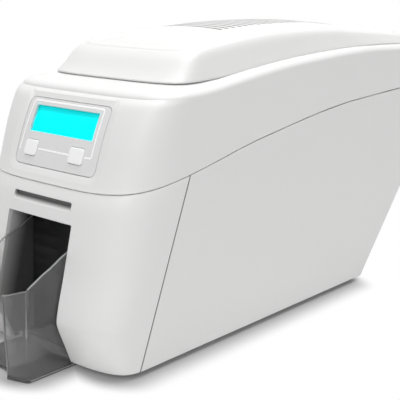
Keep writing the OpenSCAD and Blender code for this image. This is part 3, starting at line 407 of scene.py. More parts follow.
def slot_and_joint_shade():
    """The cover's white, with painted shade in the hand-feed slot and in the joint with the side
    panels.
    """
    material, tree, shader = start_material("front_cover_painted_shade")
    place = position(tree)
    # painted shade that deepens into the hand-feed slot
    fall = ramp(tree, depth_in_cover(tree, place), 0.0002, 0.0032, kind="SMOOTHSTEP")
    inside = calc(tree, "MULTIPLY", position_mask(tree, 2, SLOT_LOW, SLOT_HIGH),
                  position_mask(tree, 0, -SLOT_HW, SLOT_HW))
    inside = calc(tree, "MULTIPLY", inside, fall)
    tone = mix_colour(tree, inside, COVER_WHITE, grey(0.06))
    # painted shade on the cut face at the joint with the side panels
    lean = calc(tree, "MULTIPLY", place[2], JOINT_LEAN)
    joint = ramp(tree, calc(tree, "SUBTRACT", place[1], lean), JOINT_FRONT, JOINT_REAR,
                 kind="SMOOTHSTEP")
    tone = mix_colour(tree, joint, tone, grey(0.10))
    add_surface(tree, shader, tone, grey(0.9), 0.42, Drift=0.02, Grain=0.12, Wear=0.15)
    return material


finish = {
    "white_shell": plastic("white_shell", COVER_WHITE, 0.42, Drift=0.02, Grain=0.12, Wear=0.15),
    "side_shell": plastic("side_shell", (0.79, 0.79, 0.785), 0.45, Drift=0.02,
                          Grain=0.15, Wear=0.15),
    "grey_panel": plastic("panel", grey(0.76), 0.38, Drift=0.02, Grain=0.08),
    "key_grey": plastic("key", grey(0.96), 0.35, Grain=0.06),
    "black_plastic": plastic("black_plastic", (0.016, 0.016, 0.017), 0.6,
                             worn=grey(0.09), Grain=0.25),
    "dark_plastic": plastic("dark_plastic", (0.06, 0.06, 0.065), 0.5, worn=grey(0.16), Grain=0.3),
    "ivory_plastic": plastic("natural_plastic", (0.74, 0.71, 0.62), 0.4, Grain=0.08, Edge=0.0003),
    "slot_shade": slot_and_joint_shade(),
    "bay_black": bay_finish(),
    "lip_shade": lip_finish(),
    # painted highlight of the bin's clear rim, laid on thin strips along its top edge
    "rim": plastic("rim", (0.30, 0.30, 0.31), 0.3, Grain=0.03),
    "glow": plastic("glow", (0.62, 0.93, 0.94), 0.4, Grain=0.03),
    # the printed line on the panel: near-white print, with a faint glow as a painted highlight
    "panel_line": plastic("line", grey(0.97), 0.3, light=0.12, Grain=0.03),
    "guide_grey": plastic("guide", (0.07, 0.07, 0.073), 0.5, Grain=0.25),
    "frame_grey": plastic("frame_plastic", (0.52, 0.53, 0.54), 0.5, Grain=0.25),
    "rubber_black": plastic("foot_rubber", grey(0.022), 0.8, worn=grey(0.08),
                            Grain=0.6, Drift=0.2),
    "spool_blue": plastic("spool", (0.05, 0.09, 0.25), 0.35, Grain=0.1, Edge=0.0003),
    "film": plastic("film", (0.20, 0.02, 0.14), 0.12, Grain=0.02, Edge=0.0001),
    "card_white": plastic("card", (0.86, 0.86, 0.85), 0.22, Grain=0.03, Edge=0.0001),
    "plate_steel": metal("plate", (0.56, 0.57, 0.58), 0.38, (1.0, 0.04, 1.0)),
    "screw_steel": metal("screw", (0.60, 0.60, 0.61), 0.3, (1.0, 1.0, 1.0), 2500.0),
    "motor_steel": metal("motor", (0.45, 0.46, 0.48), 0.32, (0.05, 1.0, 1.0)),
    "brass_gear": metal("brass", (0.72, 0.53, 0.22), 0.3, (0.1, 1.0, 1.0)),
    "head_alloy": metal("heat_sink", (0.62, 0.63, 0.64), 0.35, (1.0, 0.05, 1.0)),
    "port_metal": metal("port", (0.66, 0.66, 0.67), 0.25, (1.0, 0.2, 1.0)),
    "roller_rubber": roller_finish(),
    "pcb_green": board_finish(),
    "screen": screen_finish(),
    "screen_glass": clear_finish("window", (0.55, 0.99, 1.0), 0.03, 1.0, 1.06),
    "smoke": clear_finish("smoked", grey(0.91), 0.05, 0.98, 1.49),
    "smoke_floor": clear_finish("smoked_floor", grey(0.30), 0.08, 0.98, 1.49),
}


def paint(piece, look):
    piece.data.materials.clear()
    piece.data.materials.append(finish[look])
    for face in piece.data.polygons:
        face.material_index = 0


def dress_cad_nodes():
    """Gives every carried-over node its own finish."""
    slots = {s["node"]: s["material_slot"] for s in frame["record"]["subparts"]}
    for name, slot in slots.items():
        look = {"slot_guide": "guide_grey", "stacker_bay": "bay_black"}.get(name, slot)
        paint(bpy.data.objects[name], look)


# ------------ curves of the covers

FRONT = [(4, -185.5), (18, -190.6), (30, -195), (36, -196.5), (42, -195.6), (66, -189.4),
         (97.8, -181.5), (111.6, -177.7), (119.3, -174), (128.8, -170.1), (139, -166.4),
         (150.6, -162), (168, -153.9), (175.1, -149.4), (177.9, -144.5)]
SEAM = [(-200, 115.4), (-173.1, 119.3), (-117.5, 127.3), (-87.5, 133.1), (-66.3, 137.6),
        (-44.2, 141.6), (-21, 145.1), (3.5, 148.7), (29.1, 152.2), (70.3, 156.3),
        (99.8, 157.7), (147.4, 159.8), (230, 161)]
SHOULDER = [(-143.5, 177.9), (-107.7, 178.4), (-87.9, 180), (-67.1, 182.8), (-34, 186.8),
            (1.7, 190.1), (27, 191.5), (67.7, 193.2), (96.9, 193.7), (144.2, 192.2),
            (230, 188.6)]
DECK = [(-118, 185.2), (-92, 185.5), (-71.8, 186.4), (-39.2, 189.8), (-4.2, 192.9),
        (20.7, 194.8), (60.5, 196.4), (89, 197), (134.9, 196.6), (167.9, 195.1),
        (212, 192.6)]
HOOD = [(-118, 198), (-96, 204.9), (-82.2, 206.8), (-50.7, 210.1), (-28.3, 212.1),
        (-4.9, 213.3), (19.8, 213.9), (45.9, 213.8), (73.5, 212.9), (102.8, 210.3),
        (133.9, 207.5), (167, 204.6), (204, 200.8)]


def smooth_curve(stations):
    """A monotone cubic through the stations, flat outside them."""
    x, y = np.array(stations, float).T
    h = np.diff(x)
    d = np.diff(y) / h
    m = np.zeros_like(x)
    m[1:-1] = np.where(d[:-1] * d[1:] > 0, 2 * d[:-1] * d[1:] / (d[:-1] + d[1:] + 1e-12), 0)
    m[0], m[-1] = d[0], d[-1]

    def at(q):
        q = np.clip(np.asarray(q, float), x[0], x[-1])
        i = np.clip(np.searchsorted(x, q) - 1, 0, len(h) - 1)
        t = (q - x[i]) / h[i]
        return ((2 * t**3 - 3 * t**2 + 1) * y[i] + (t**3 - 2 * t**2 + t) * h[i] * m[i]
                + (3 * t**2 - 2 * t**3) * y[i + 1] + (t**3 - t**2) * h[i] * m[i + 1])
    return at


front_y = smooth_curve(FRONT)
seam_z = smooth_curve(SEAM)
shoulder_z = smooth_curve(SHOULDER)
deck_z = smooth_curve(DECK)
hood_z = smooth_curve(HOOD)

BODY_HW, WALL, FLOOR_Z, REAR_Y, GAP, EDGE = 79.2, 2.6, 4.0, 226.5, 0.25, 0.4
FRONT_SEAM_Z, FRONT_TOP_Z, FRONT_TOP_Y = 119.3, 177.9, -144.5
CORNER_LOW, CORNER_HIGH, CORNER_TOP, CORNER_REAR = 28.0, 60.0, 40.0, 6.0
ARC_STEPS, SIDE_STEPS = 30, 56


def corner_steps(depth_over_width):
    """Angles that space the points of a bowed corner evenly."""
    t = np.linspace(0, pi / 2, 400)
    x = np.sqrt(np.sin(t))
    y = depth_over_width * (1 - np.sqrt(np.cos(t)))
    run = np.concatenate([[0], np.cumsum(np.hypot(np.diff(x), np.diff(y)))])
    return np.interp(np.linspace(0, run[-1], ARC_STEPS + 1), run, t)


def outline(hw, yf, df, yr, dr):
    """Plan of a cover from yf to yr, with bowed corners df deep in front and dr at the rear."""
    t = corner_steps(max(df, 1) / hw)
    r = corner_steps(max(dr, 1) / hw)
    fx, fy = hw * np.sqrt(np.sin(t)), yf + df * (1 - np.sqrt(np.maximum(np.cos(t), 0)))
    rx, ry = hw * np.sqrt(np.sin(r)), yr - dr * (1 - np.sqrt(np.maximum(np.cos(r), 0)))
    side = np.linspace(yf + df, yr - dr, SIDE_STEPS + 1)[1:-1]
    x = np.concatenate([-fx[:0:-1], fx, np.full(len(side), hw), rx[:0:-1], -rx,
                        np.full(len(side), -hw)])
    y = np.concatenate([fy[:0:-1], fy, side, ry[:0:-1], ry, side[::-1]])
    return x, y


def ring(x, y, z):
    return np.stack([x, y, np.broadcast_to(z, x.shape)], 1)


def mesh_object(name, points, faces):
    mesh = bpy.data.meshes.new(name)
    mesh.from_pydata([tuple(p) for p in np.asarray(points) * MM], [], faces)
    mesh.validate()
    mesh.update()
    return add_object(name, mesh)


def bands(n, loops, closed=False, start=0):
    """Faces between neighbouring loops of n points, back to the first one if closed."""
    pairs = [(j * n, (j + 1) % loops * n) for j in range(loops if closed else loops - 1)]
    return [(start + a + i, start + a + (i + 1) % n, start + b + (i + 1) % n, start + b + i)
            for a, b in pairs for i in range(n)]


def loft(name, rings, closed):
    """A skin through rings of points: closed on itself, or capped at both ends."""
    n, m = len(rings[0]), len(rings)
    faces = bands(n, m, closed)
    if not closed:
        for base, up in ((0, False), ((m - 1) * n, True)):
            for j in range(n // 2):
                a, b = ARC_STEPS + j, ARC_STEPS + j + 1
                c, d = (ARC_STEPS - j - 1) % n, (ARC_STEPS - j) % n
                quad = list(dict.fromkeys((d, a, b, c)))
                faces.append(tuple(v + base for v in (quad if up else quad[::-1])))
    return mesh_object(name, np.concatenate(rings), faces)


def settle(piece):
    """Applies the piece's modifiers and leaves a plain mesh."""
    graph = bpy.context.evaluated_depsgraph_get()
    mesh = bpy.data.meshes.new_from_object(piece.evaluated_get(graph))
    piece.modifiers.clear()
    old = piece.data
    piece.data = mesh
    bpy.data.meshes.remove(old)


def cut(piece, *cutters):
    for cutter in cutters:
        tool = piece.modifiers.new("cut", "BOOLEAN")
        tool.operation = "DIFFERENCE"
        tool.solver = "EXACT"
        tool.object = cutter
    settle(piece)
    for cutter in cutters:
        bpy.data.objects.remove(cutter)


def soften(piece, width, steps=2, angle=40):
    tool = piece.modifiers.new("round", "BEVEL")
    tool.width = width * MM
    tool.segments = steps
    tool.limit_method = "ANGLE"
    tool.angle_limit = radians(angle)
    settle(piece)


def smooth(piece, angle=32):
    mesh = piece.data
    for face in mesh.polygons:
        face.use_smooth = True
    mesh.set_sharp_from_angle(angle=radians(angle))


def wear(piece, slot, look=None):
    """Paints a piece with its slot's finish or with another look."""
    paint(piece, look or slot)


def along_x(u, v, w):
    """Places a shape of the YZ plane that is drawn out along X."""
    return (w, u, v)


def prism(name, shape, axis_point, low, high):
    """A solid from a closed 2-D shape: axis_point(u, v, w) places it, w from low to high."""
    n = len(shape)
    points = [axis_point(u, v, w) for w in (low, high) for u, v in shape]
    faces = [tuple(range(n))[::-1], tuple(range(n, 2 * n))] + bands(n, 2)
    piece = mesh_object(name, points, faces)
    face_outward(piece)
    return piece


def rectangle(u0, v0, u1, v1):
    return [(u0, v0), (u1, v0), (u1, v1), (u0, v1)]


def circle(radius, steps):
    turns = [2 * pi * i / steps for i in range(steps)]
    return [(radius * cos(a), radius * sin(a)) for a in turns]


def rounded_rectangle(width, height, radius):
    shape, steps = [], 8
    for cx, cy, start in ((1, 1, 0), (-1, 1, 90), (-1, -1, 180), (1, -1, 270)):
        for i in range(steps + 1):
            a = radians(start + 90 * i / steps)
            shape.append((cx * (width / 2 - radius) + radius * cos(a),
                          cy * (height / 2 - radius) + radius * sin(a)))
    return shape


# ------------ covers

# the bay's opening in the front cover, and the lips inside it
BAY_HW, BAY_TOP, BAY_SINK, LIP_HW, LIP_FOOT, LIP_DEPTH = 33.1, 97.8, 2.4, 35.1, 7.2, 21
# the side joint's plane, from the floor to the seam
JOINT_FOOT_Y, JOINT_HEAD_Y, JOINT_HEAD_Z = -166.9, -116.6, 127.6
CREASE = 0.2775          # share of the front cover's height at which its face turns back
COVER_REAR_Y = -60       # hidden end of the front cover's plan, cut off at the side joint


def low_ring(k, inset=0.0, lift=0.0):
    """The front cover's plan at a share k of its height."""
    front = float(front_y(FLOOR_Z + (FRONT_SEAM_Z - FLOOR_Z) * k))
    x, y = outline(BODY_HW - inset, front + inset,
                   CORNER_LOW + (CORNER_HIGH - CORNER_LOW) * k, COVER_REAR_Y - inset, 1)
    top = seam_z(y) - GAP
    return ring(x, y, FLOOR_Z + (top - FLOOR_Z) * k + lift)


def high_ring(k, inset=0.0, lift=0.0):
    """The upper housing's plan at a share k of the height of its walls."""
    front = float(front_y(FRONT_SEAM_Z + (FRONT_TOP_Z - FRONT_SEAM_Z) * k))
    x, y = outline(BODY_HW - inset, front + inset,
                   CORNER_HIGH + (CORNER_TOP - CORNER_HIGH) * k, REAR_Y - inset, CORNER_REAR)
    low = seam_z(y) + GAP
    return ring(x, y, low + (shoulder_z(y) - low) * k + lift)


def rounded_steps(radius, steps=4):
    """Insets and rises of a small rounded edge."""
    angles = [pi / 2 * i / steps for i in range(steps + 1)]
    return [(radius * (1 - sin(a)), radius * (1 - cos(a))) for a in angles]


def slot_cutter():
    """The hand-feed slot's hollow: its lower lip slopes up into the body."""
    rings = []
    for y, low, high in ((-186.0, 99.7, 111.6), (-175.3, 108.9, 111.6)):
        size = high - low
        rings.append([(u, y, v + low + size / 2)
                      for u, v in rounded_rectangle(60, size, min(2, size / 2 - 0.05))])
    return stack("cutter", rings)


def stack(name, rings):
    """A closed solid through loops that have the same number of points."""
    n, last = len(rings[0]), (len(rings) - 1) * len(rings[0])
    faces = [tuple(range(n))[::-1]] + bands(n, len(rings)) + [tuple(range(last, last + n))]
    piece = mesh_object(name, [p for loop in rings for p in loop], faces)
    face_outward(piece)
    return piece


def face_outward(piece):
    bm = bmesh.new()
    bm.from_mesh(piece.data)
    bmesh.ops.recalc_face_normals(bm, faces=bm.faces)
    bm.to_mesh(piece.data)
    bm.free()


def make_front_cover():
    levels = np.unique(np.concatenate([np.linspace(0.012, 0.99, 44), [CREASE]]))
    rings = [low_ring(0, i, r) for i, r in rounded_steps(EDGE)]
    rings += [low_ring(k) for k in levels]
    rings += [low_ring(1, i, -r) for i, r in rounded_steps(EDGE)[::-1]]
    rings += [low_ring(k, WALL) for k in (1, 0.5, CREASE, 0)]
    cover = loft("front_cover_shell", rings, True)
    behind = [(JOINT_FOOT_Y, 0), (JOINT_HEAD_Y, JOINT_HEAD_Z), (JOINT_HEAD_Y, 150), (0, 150),
              (0, 0)]
    height = 240
    cut(cover, prism("cutter", behind, along_x, -90, 90),
        prism("cutter", rounded_rectangle(2 * BAY_HW, height, 1.2),
              lambda u, v, w: (u, w, v + BAY_TOP - height / 2), -210, -160),
        slot_cutter())
    smooth(cover)
    wear(cover, "white_shell", "slot_shade")
    inner = [(float(front_y(z)) + BAY_SINK, z) for z in np.linspace(FLOOR_Z, BAY_TOP, 30)]
    y, foot, toe = (float(front_y(z)) for z in (BAY_TOP, LIP_FOOT, FLOOR_Z))
    outer = [(y + LIP_DEPTH, BAY_TOP), (foot + LIP_DEPTH, LIP_FOOT), (foot + 6.5, LIP_FOOT),
             (toe + 6.5, FLOOR_Z)]
    lips = [prism("lip", inner + outer, along_x, *sorted((side * (BAY_HW + 0.02), side * LIP_HW)))
            for side in (-1, 1)]
    lips.append(prism("lip", rectangle(y + BAY_SINK, BAY_TOP + 0.02, y + LIP_DEPTH, BAY_TOP + 2),
                      along_x, -LIP_HW, LIP_HW))
    lip = join("front_cover_lip", lips)
    smooth(lip)
    wear(lip, "white_shell", "lip_shade")
    for piece in (cover, lip):
        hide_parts("front_cover")
        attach(piece, "chassis")


def join(name, pieces):
    bm = bmesh.new()
    for piece in pieces:
        bm.from_mesh(piece.data)
        bpy.data.objects.remove(piece)
    mesh = bpy.data.meshes.new(name)
    bm.to_mesh(mesh)
    bm.free()
    return add_object(name, mesh)


LCD_Z, LCD_HW, LCD_H = 159.5, 32.3, 19.2
KEY_Z, KEY_H = 140.0, 11.0
KEYS = {"button_left": (-26.0, 12.5, "key_left"), "button_right": (21.0, 14.0, "key_right")}
PANEL_HW, PANEL_Z0, PANEL_Z1, PANEL_CORNER, PANEL_GAP, SINK = 41.4, 128.8, 172.9, 4.4, 0.35, 1.2
PANEL_FLARE = 4.35       # the recess is this much wider at the housing's skin
# how far in and up the housing's top edge rolls over, and the edge of the well in the deck
ROLL_IN, ROLL_UP, WELL = 5.4, 3.9, (61.2, -113.6, 24, 198.5, 8)
HINGE_Y, HINGE_Z, KNUCKLE_R, PIN_R = 209.5, 198.9, 4.2, 2.05


def panel_tilt(z):
    """The front panel's lean at height z, in radians."""
    return atan(float(front_y(z + 4) - front_y(z - 4)) / 8)


def panel_surface(x, z, depth):
    """A point at a depth behind the front panel's skin."""
    k = (z - FRONT_SEAM_Z) / (FRONT_TOP_Z - FRONT_SEAM_Z)
    d = CORNER_HIGH + (CORNER_TOP - CORNER_HIGH) * k
    bow = d * (1 - (1 - min(abs(x) / BODY_HW, 1) ** 4) ** 0.25)
    tilt = panel_tilt(z)
    return (x, float(front_y(z)) + bow + depth * cos(tilt), z - depth * sin(tilt))


def slab_faces(rows, columns):
    """Faces of a slab between two like grids of points, given one after the other."""
    row, size = columns + 1, (columns + 1) * (rows + 1)
    faces = []
    for j in range(rows):
        for a in range(j * row, j * row + columns):
            faces.append((a, a + 1, a + row + 1, a + row))
            faces.append((a + size, a + size + row, a + size + row + 1, a + size + 1))
    rim = (list(range(columns)) + [columns + j * row for j in range(rows)]
           + [rows * row + i for i in range(columns, 0, -1)]
           + [j * row for j in range(rows, 0, -1)])
    return faces + [(b, a, a + size, b + size) for a, b in zip(rim, rim[1:] + rim[:1])]


def panel_slab(name, grow, near, far, radius, flare=0.0, across=48, up=44):
    """A slab that follows the front panel, with rounded corners, wider by flare at the front."""
    points = []
    for depth, extra in ((near, flare), (far, 0.0)):
        hw, r = PANEL_HW + grow + extra, radius + extra
        z0, z1 = PANEL_Z0 - grow - extra, PANEL_Z1 + grow + extra
        for j in range(up + 1):
            z = z0 + (z1 - z0) * (1 - cos(pi * j / up)) / 2
            gap = min(z - z0, z1 - z)
            w = hw - r + sqrt(max(r**2 - (r - min(gap, r))**2, 0))
            points += [panel_surface(-w + 2 * w * i / across, z, depth)
                       for i in range(across + 1)]
    return mesh_object(name, points, slab_faces(up, across))


def panel_frame(z):
    """Places (across, up the slope, inward) at height z of the front panel."""
    tilt = panel_tilt(z)
    base = Vector((0, float(front_y(z)), z))
    up = Vector((0, sin(tilt), cos(tilt)))
    inward = Vector((0, cos(tilt), -sin(tilt)))
    return lambda u, v, w: tuple(base + Vector((u, 0, 0)) + up * v + inward * w)


def make_upper_housing():
    rings = [high_ring(0, i, r) for i, r in rounded_steps(EDGE)]
    rings += [high_ring(k) for k in np.linspace(0.02, 1, 26)]
    for a in np.linspace(0, pi * 0.42, 9)[1:]:
        inset, rise = ROLL_IN * (1 - cos(a)) + 0.6 * sin(a), ROLL_UP * sin(a)
        x, y = outline(BODY_HW - inset, FRONT_TOP_Y + inset, CORNER_TOP - inset / 3,
                       REAR_Y - inset, CORNER_REAR)
        rings.append(ring(x, y, shoulder_z(y) + rise))
    x, y = outline(*WELL)
    deck = ring(x, y, deck_z(y))
    last = rings[-1]
    rings += [last + (deck - last) * k for k in np.linspace(0, 1, 9)[1:]]
    rings += [ring(x, y, deck_z(y) - d) for d in (0.3, WALL)]
    x, y = outline(BODY_HW - ROLL_IN, FRONT_TOP_Y + ROLL_IN, CORNER_TOP - 1.8, REAR_Y - ROLL_IN,
                   CORNER_REAR)
    rings += [ring(x * 0.985, y, shoulder_z(y) + ROLL_UP - WALL)]
    rings += [high_ring(k, WALL) for k in (1, 0.7, 0.35, 0)]
    shell = loft("upper_housing_shell", rings, True)
    cut(shell, panel_slab("cutter", PANEL_GAP, -3, 4.5, PANEL_CORNER + PANEL_GAP),
        panel_slab("cutter", 0.0, -1, SINK, PANEL_CORNER, PANEL_FLARE * (1 + 1 / SINK)))
    smooth(shell)
    wear(shell, "white_shell")
    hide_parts("upper_housing")
    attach(shell, "chassis")
    make_panel_ledge()
    make_hinge_knuckles()


def make_panel_ledge():
    """The frame inside the housing that the panel lies on."""
    ledge = panel_slab("panel_ledge", 3, 2.45, 5.4, 7)
    cut(ledge, panel_slab("cutter", PANEL_GAP, 1, 3.6, PANEL_CORNER + PANEL_GAP),
        panel_slab("cutter", -2.5, 0, 8, 3))
    smooth(ledge)
    wear(ledge, "white_shell")
    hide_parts("upper_housing")
    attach(ledge, "chassis")


def knuckle(x0, x1, steps=40):
    """A drilled barrel on the hinge's axis with rounded rims."""
    soft = 0.4
    profile = [(x0, PIN_R), (x0, KNUCKLE_R - soft), (x0 + soft, KNUCKLE_R),
               (x1 - soft, KNUCKLE_R), (x1, KNUCKLE_R - soft), (x1, PIN_R)]
    points = [(x, HINGE_Y + u, HINGE_Z + v) for x, radius in profile
              for u, v in circle(radius, steps)]
    return mesh_object("knuckle", points,
                       [face[::-1] for face in bands(steps, len(profile), True)])


def make_hinge_knuckles():
    parts = []
    foot = [(HINGE_Y + y, z) for y, z in ((-5.2, 191.4), (5.2, 191.4), (3.6, 196.9),
                                          (2.2, 196.0), (-2.2, 196.0), (-3.6, 196.9))]
    for side in (-1, 1):
        for x in (30.0, 44.1):
            x0, x1 = sorted((side * x, side * (x + 5.9)))
            parts += [knuckle(x0, x1), prism("foot", foot, along_x, x0, x1)]
    knuckles = join("hinge_knuckles", parts)
    smooth(knuckles)
    wear(knuckles, "white_shell")
    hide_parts("upper_housing")
    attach(knuckles, "chassis")


HOOD_HW, HOOD_Y0, HOOD_Y1, SKIRT, HOOD_GAP = 65.7, -118.2, 203.5, 1.0, 0.07
CROWN, CROWN_Y = 4.85, 45
# inset at the front, the sides and the rear, share of the height from skirt to edge, and rise
HOOD_STEPS = [(0, 0, 0, 0, 0), (6, 2, 1.5, 0.34, 0), (15, 5, 4, 0.8, 0), (22.2, 8, 7.2, 1, -0.9),
              (24, 9.8, 8.8, 1, 0), (28, 14, 12, 1, 0.5)]
VENTS, VENT_PITCH, VENT_HW, VENT_Y0 = 20, 7.5, 30.0, -31.0
VENT_WIDTH = VENT_PITCH * 0.45


def hood_ring(front, side, rear, share, up, inset=0.0, lift=0.0):
    x, y = outline(HOOD_HW - side - inset, HOOD_Y0 + front + inset, 26 - front / 5,
                   HOOD_Y1 - rear - inset, 10)
    base = deck_z(y) + HOOD_GAP + SKIRT
    return ring(x, y, base + (hood_z(y) - base) * share + up + lift)


def hood_profile(count):
    """The hood's wall between its steps, rounded by a curve through them."""
    s = np.arange(len(HOOD_STEPS), dtype=float)
    curves = [smooth_curve(list(zip(s, [step[i] for step in HOOD_STEPS]))) for i in range(5)]
    return [tuple(float(c(q)) for c in curves) for q in np.linspace(0, s[-1], count)]


def crown_ring(f, inset=0.0):
    """The hood's top at a share f of the width of its edge."""
    edge = hood_ring(*HOOD_STEPS[-1], inset)
    y = CROWN_Y + (edge[:, 1] - CROWN_Y) * (0.75 + 0.25 * f)
    rise = hood_z(y) - hood_z(edge[:, 1])
    return ring(edge[:, 0] * f, y, edge[:, 2] + rise + (CROWN - HOOD_STEPS[-1][4]) * (1 - f * f))


def slot_cutters(name, count, **lengths):
    """A row of slots across the part: one instanced box, realised by Geometry Nodes."""
    tree = bpy.data.node_groups.new(name, "GeometryNodeTree")
    tree.interface.new_socket("Geometry", in_out="OUTPUT", socket_type="NodeSocketGeometry")
    inputs = {"Count": count, **{label: value * MM for label, value in lengths.items()}}
    keys = {}
    for label in inputs:
        kind = "NodeSocketInt" if label == "Count" else "NodeSocketFloat"
        keys[label] = tree.interface.new_socket(label, in_out="INPUT", socket_type=kind).identifier
    given = tree.nodes.new("NodeGroupInput").outputs
    first = add_node(tree, "CombineXYZ", Y=given["Start"], Z=given["Middle"])
    step = add_node(tree, "CombineXYZ", Y=given["Pitch"])
    size = add_node(tree, "CombineXYZ", X=given["Length"], Y=given["Width"], Z=given["Height"])
    line = add_node(tree, "GeometryNodeMeshLine", Count=given["Count"],
                    Start_Location=first.outputs[0], Offset=step.outputs[0])
    cube = add_node(tree, "GeometryNodeMeshCube", Size=size.outputs[0])
    row = add_node(tree, "GeometryNodeInstanceOnPoints", Points=line.outputs["Mesh"],
                   Instance=cube.outputs["Mesh"])
    solid = add_node(tree, "GeometryNodeRealizeInstances", Geometry=row.outputs[0])
    done = add_node(tree, "GeometryNodeSetMaterial", Geometry=solid.outputs[0],
                    Material=finish["white_shell"])
    add_node(tree, "NodeGroupOutput", Geometry=done.outputs[0])
    host = add_object(name, bpy.data.meshes.new(name))
    modifier = host.modifiers.new(name, "NODES")
    modifier.node_group = tree
    for label, value in inputs.items():
        modifier[keys[label]] = value
    settle(host)
    return host


def make_hood():
    wall = hood_profile(31)
    foot = HOOD_STEPS[0]
    rings = [hood_ring(*foot, i, r - SKIRT) for i, r in rounded_steps(0.2)]
    rings += [hood_ring(*foot, 0, -d) for d in (SKIRT / 2, 0.25)]
    rings += [hood_ring(*w) for w in wall]
    rings += [crown_ring(f) for f in np.linspace(0.94, 0.03, 16)]
    outer = loft("lid_hood_shell", rings, False)
    inner = [hood_ring(*foot, WALL, -SKIRT - 5)]
    inner += [hood_ring(*w, WALL, -WALL * min(1, w[3] * 3)) for w in wall]
    inner += [crown_ring(f, WALL) - np.array([0, 0, WALL]) for f in np.linspace(0.94, 0.03, 10)]
    cut(outer, loft("cutter", inner, False),
        slot_cutters("vent_slots", VENTS, Pitch=VENT_PITCH, Length=2 * VENT_HW,
                     Width=VENT_WIDTH, Start=VENT_Y0 + VENT_WIDTH / 2, Middle=215, Height=30))
    parts = []
    root_y = HOOD_Y1 - 2.4
    arm = [(root_y, HINGE_Z - 2.6), (HINGE_Y - 3.0, HINGE_Z - 2.6),
           (HINGE_Y - 3.2, HINGE_Z + 2.4), (root_y, HINGE_Z + 1.8)]
    for side in (-1, 1):
        x0, x1 = sorted((side * 36.3, side * 43.7))
        parts += [knuckle(x0, x1), prism("arm", arm, along_x, x0, x1)]
        for y in (-76, 40, 160):
            boss = [(side * 46 + u, y + v) for u, v in circle(3.4, 32)]
            parts.append(prism("boss", boss, lambda u, v, w: (u, v, w), 192.65,
                               float(hood_z(y)) - 1.5))
    for piece in (outer, join("lid_hood_arms", parts)):
        smooth(piece)
        wear(piece, "white_shell")
        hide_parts("lid_hood")
        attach(piece, "lid")


# ------------ front panel

# inset and depth of a key's cap, from its root to its face
KEY_LEVELS = [(0, 3.1), (0, -0.3), (0.15, -0.62), (0.45, -0.82), (0.9, -0.9), (2.2, -0.9),
              (3.6, -0.9)]
LINE_ROUTES = [[(-38.7, 139.0), (-36.9, 169.4), (-35.4, 170.9), (34.2, 170.9), (35.5, 169.6),
                (35.4, 140.8), (34.6, 140.1), (28.8, 140.0)], [(-18.6, 139.9), (13.2, 139.8)]]
LINE_HW, LINE_FRONT, LINE_BACK = 0.55, 1.14, 1.25
DOT_X, DOT_Z, DOT_R = -38.7, 138.2, 0.85


def make_bezel():
    bezel = panel_slab("display_bezel_plate", 0, SINK, SINK + 2, PANEL_CORNER)
    holes = [(rounded_rectangle(2 * LCD_HW, LCD_H, 1.2), LCD_Z)]
    for x, width, _ in KEYS.values():
        shape = rounded_rectangle(width + 0.6, KEY_H + 0.6, 2.3)
        holes.append(([(u + x, v) for u, v in shape], KEY_Z))
    cut(bezel, *[prism("cutter", shape, panel_frame(z), -4, 8) for shape, z in holes])
    smooth(bezel)
    wear(bezel, "grey_panel")
    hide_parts("display_bezel")
    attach(bezel, "chassis")


def make_keys():
    """Keys with a hidden flange and a softly rounded face."""
    place = panel_frame(KEY_Z)
    for node, (x, width, body) in KEYS.items():
        loops = [(rounded_rectangle(width + 2.2, KEY_H + 2.2, 2.4), w) for w in (4.0, 3.1)]
        loops += [(rounded_rectangle(width - 2 * inset, KEY_H - 2 * inset, max(2 - inset, 0.6)), w)
                  for inset, w in KEY_LEVELS]
        key = stack(node + "_cap", [[place(u + x, v, w + SINK) for u, v in loop]
                                    for loop, w in loops])
        smooth(key, 50)
        wear(key, "key_grey")
        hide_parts(node)
        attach(key, body)


def make_screen_glow():
    """The pale border that the lit display throws on the edge of its opening."""
    slope = cos(panel_tilt(LCD_Z))
    loops = []
    for grow, rise in ((1.0, 0.05), (1.0, -0.05), (0.0, -0.05), (0.0, 0.05)):
        shape = rounded_rectangle(2 * (LCD_HW + grow), LCD_H + 2 * grow, 1.2 + grow)
        loops.append([panel_surface(u, LCD_Z + v * slope, SINK + rise) for u, v in shape])
    border = mesh_object("screen_glow", [p for loop in loops for p in loop],
                         bands(len(loops[0]), len(loops), True))
    face_outward(border)
    wear(border, "card_white", "glow")
    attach(border, "chassis")


def make_panel_lines():
    """The thin pale line printed round the display and between the keys."""
    points, faces = [], []
    for route in LINE_ROUTES:
        path = []
        for (x0, z0), (x1, z1) in zip(route, route[1:]):
            steps = max(1, int(hypot(x1 - x0, z1 - z0) / 2))
            path += [(x0 + (x1 - x0) * i / steps, z0 + (z1 - z0) * i / steps)
                     for i in range(steps)]
        path.append(route[-1])
        start, end = len(points), len(points) + 4 * (len(path) - 1)
        for i, (x, z) in enumerate(path):
            before, after = path[max(i - 1, 0)], path[min(i + 1, len(path) - 1)]
            dx, dz = after[0] - before[0], after[1] - before[1]
            size = hypot(dx, dz)
            nx, nz = -dz / size * LINE_HW, dx / size * LINE_HW
            points += [panel_surface(x + nx * side, z + nz * side, depth)
                       for side, depth in ((1, LINE_FRONT), (1, LINE_BACK), (-1, LINE_BACK),
                                           (-1, LINE_FRONT))]
        faces += bands(4, len(path), start=start)
        faces += [(start, start + 3, start + 2, start + 1), (end, end + 1, end + 2, end + 3)]
    line = mesh_object("panel_line", points, faces)
    face_outward(line)
    dot = stack("dot", [[panel_surface(DOT_X + u, DOT_Z + v, depth) for u, v in circle(DOT_R, 28)]
                        for depth in (LINE_FRONT, LINE_BACK)])
    line = join("panel_line", [line, dot])
    wear(line, "card_white", "panel_line")
    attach(line, "chassis")


# ------------ bin

BIN_HW, BIN_WALL, BIN_NOSE, BIN_BOW, BIN_CORNER = 32.4, 2.0, -226.05, 5.0, 2.6
BIN_LEAN = tan(radians(2))
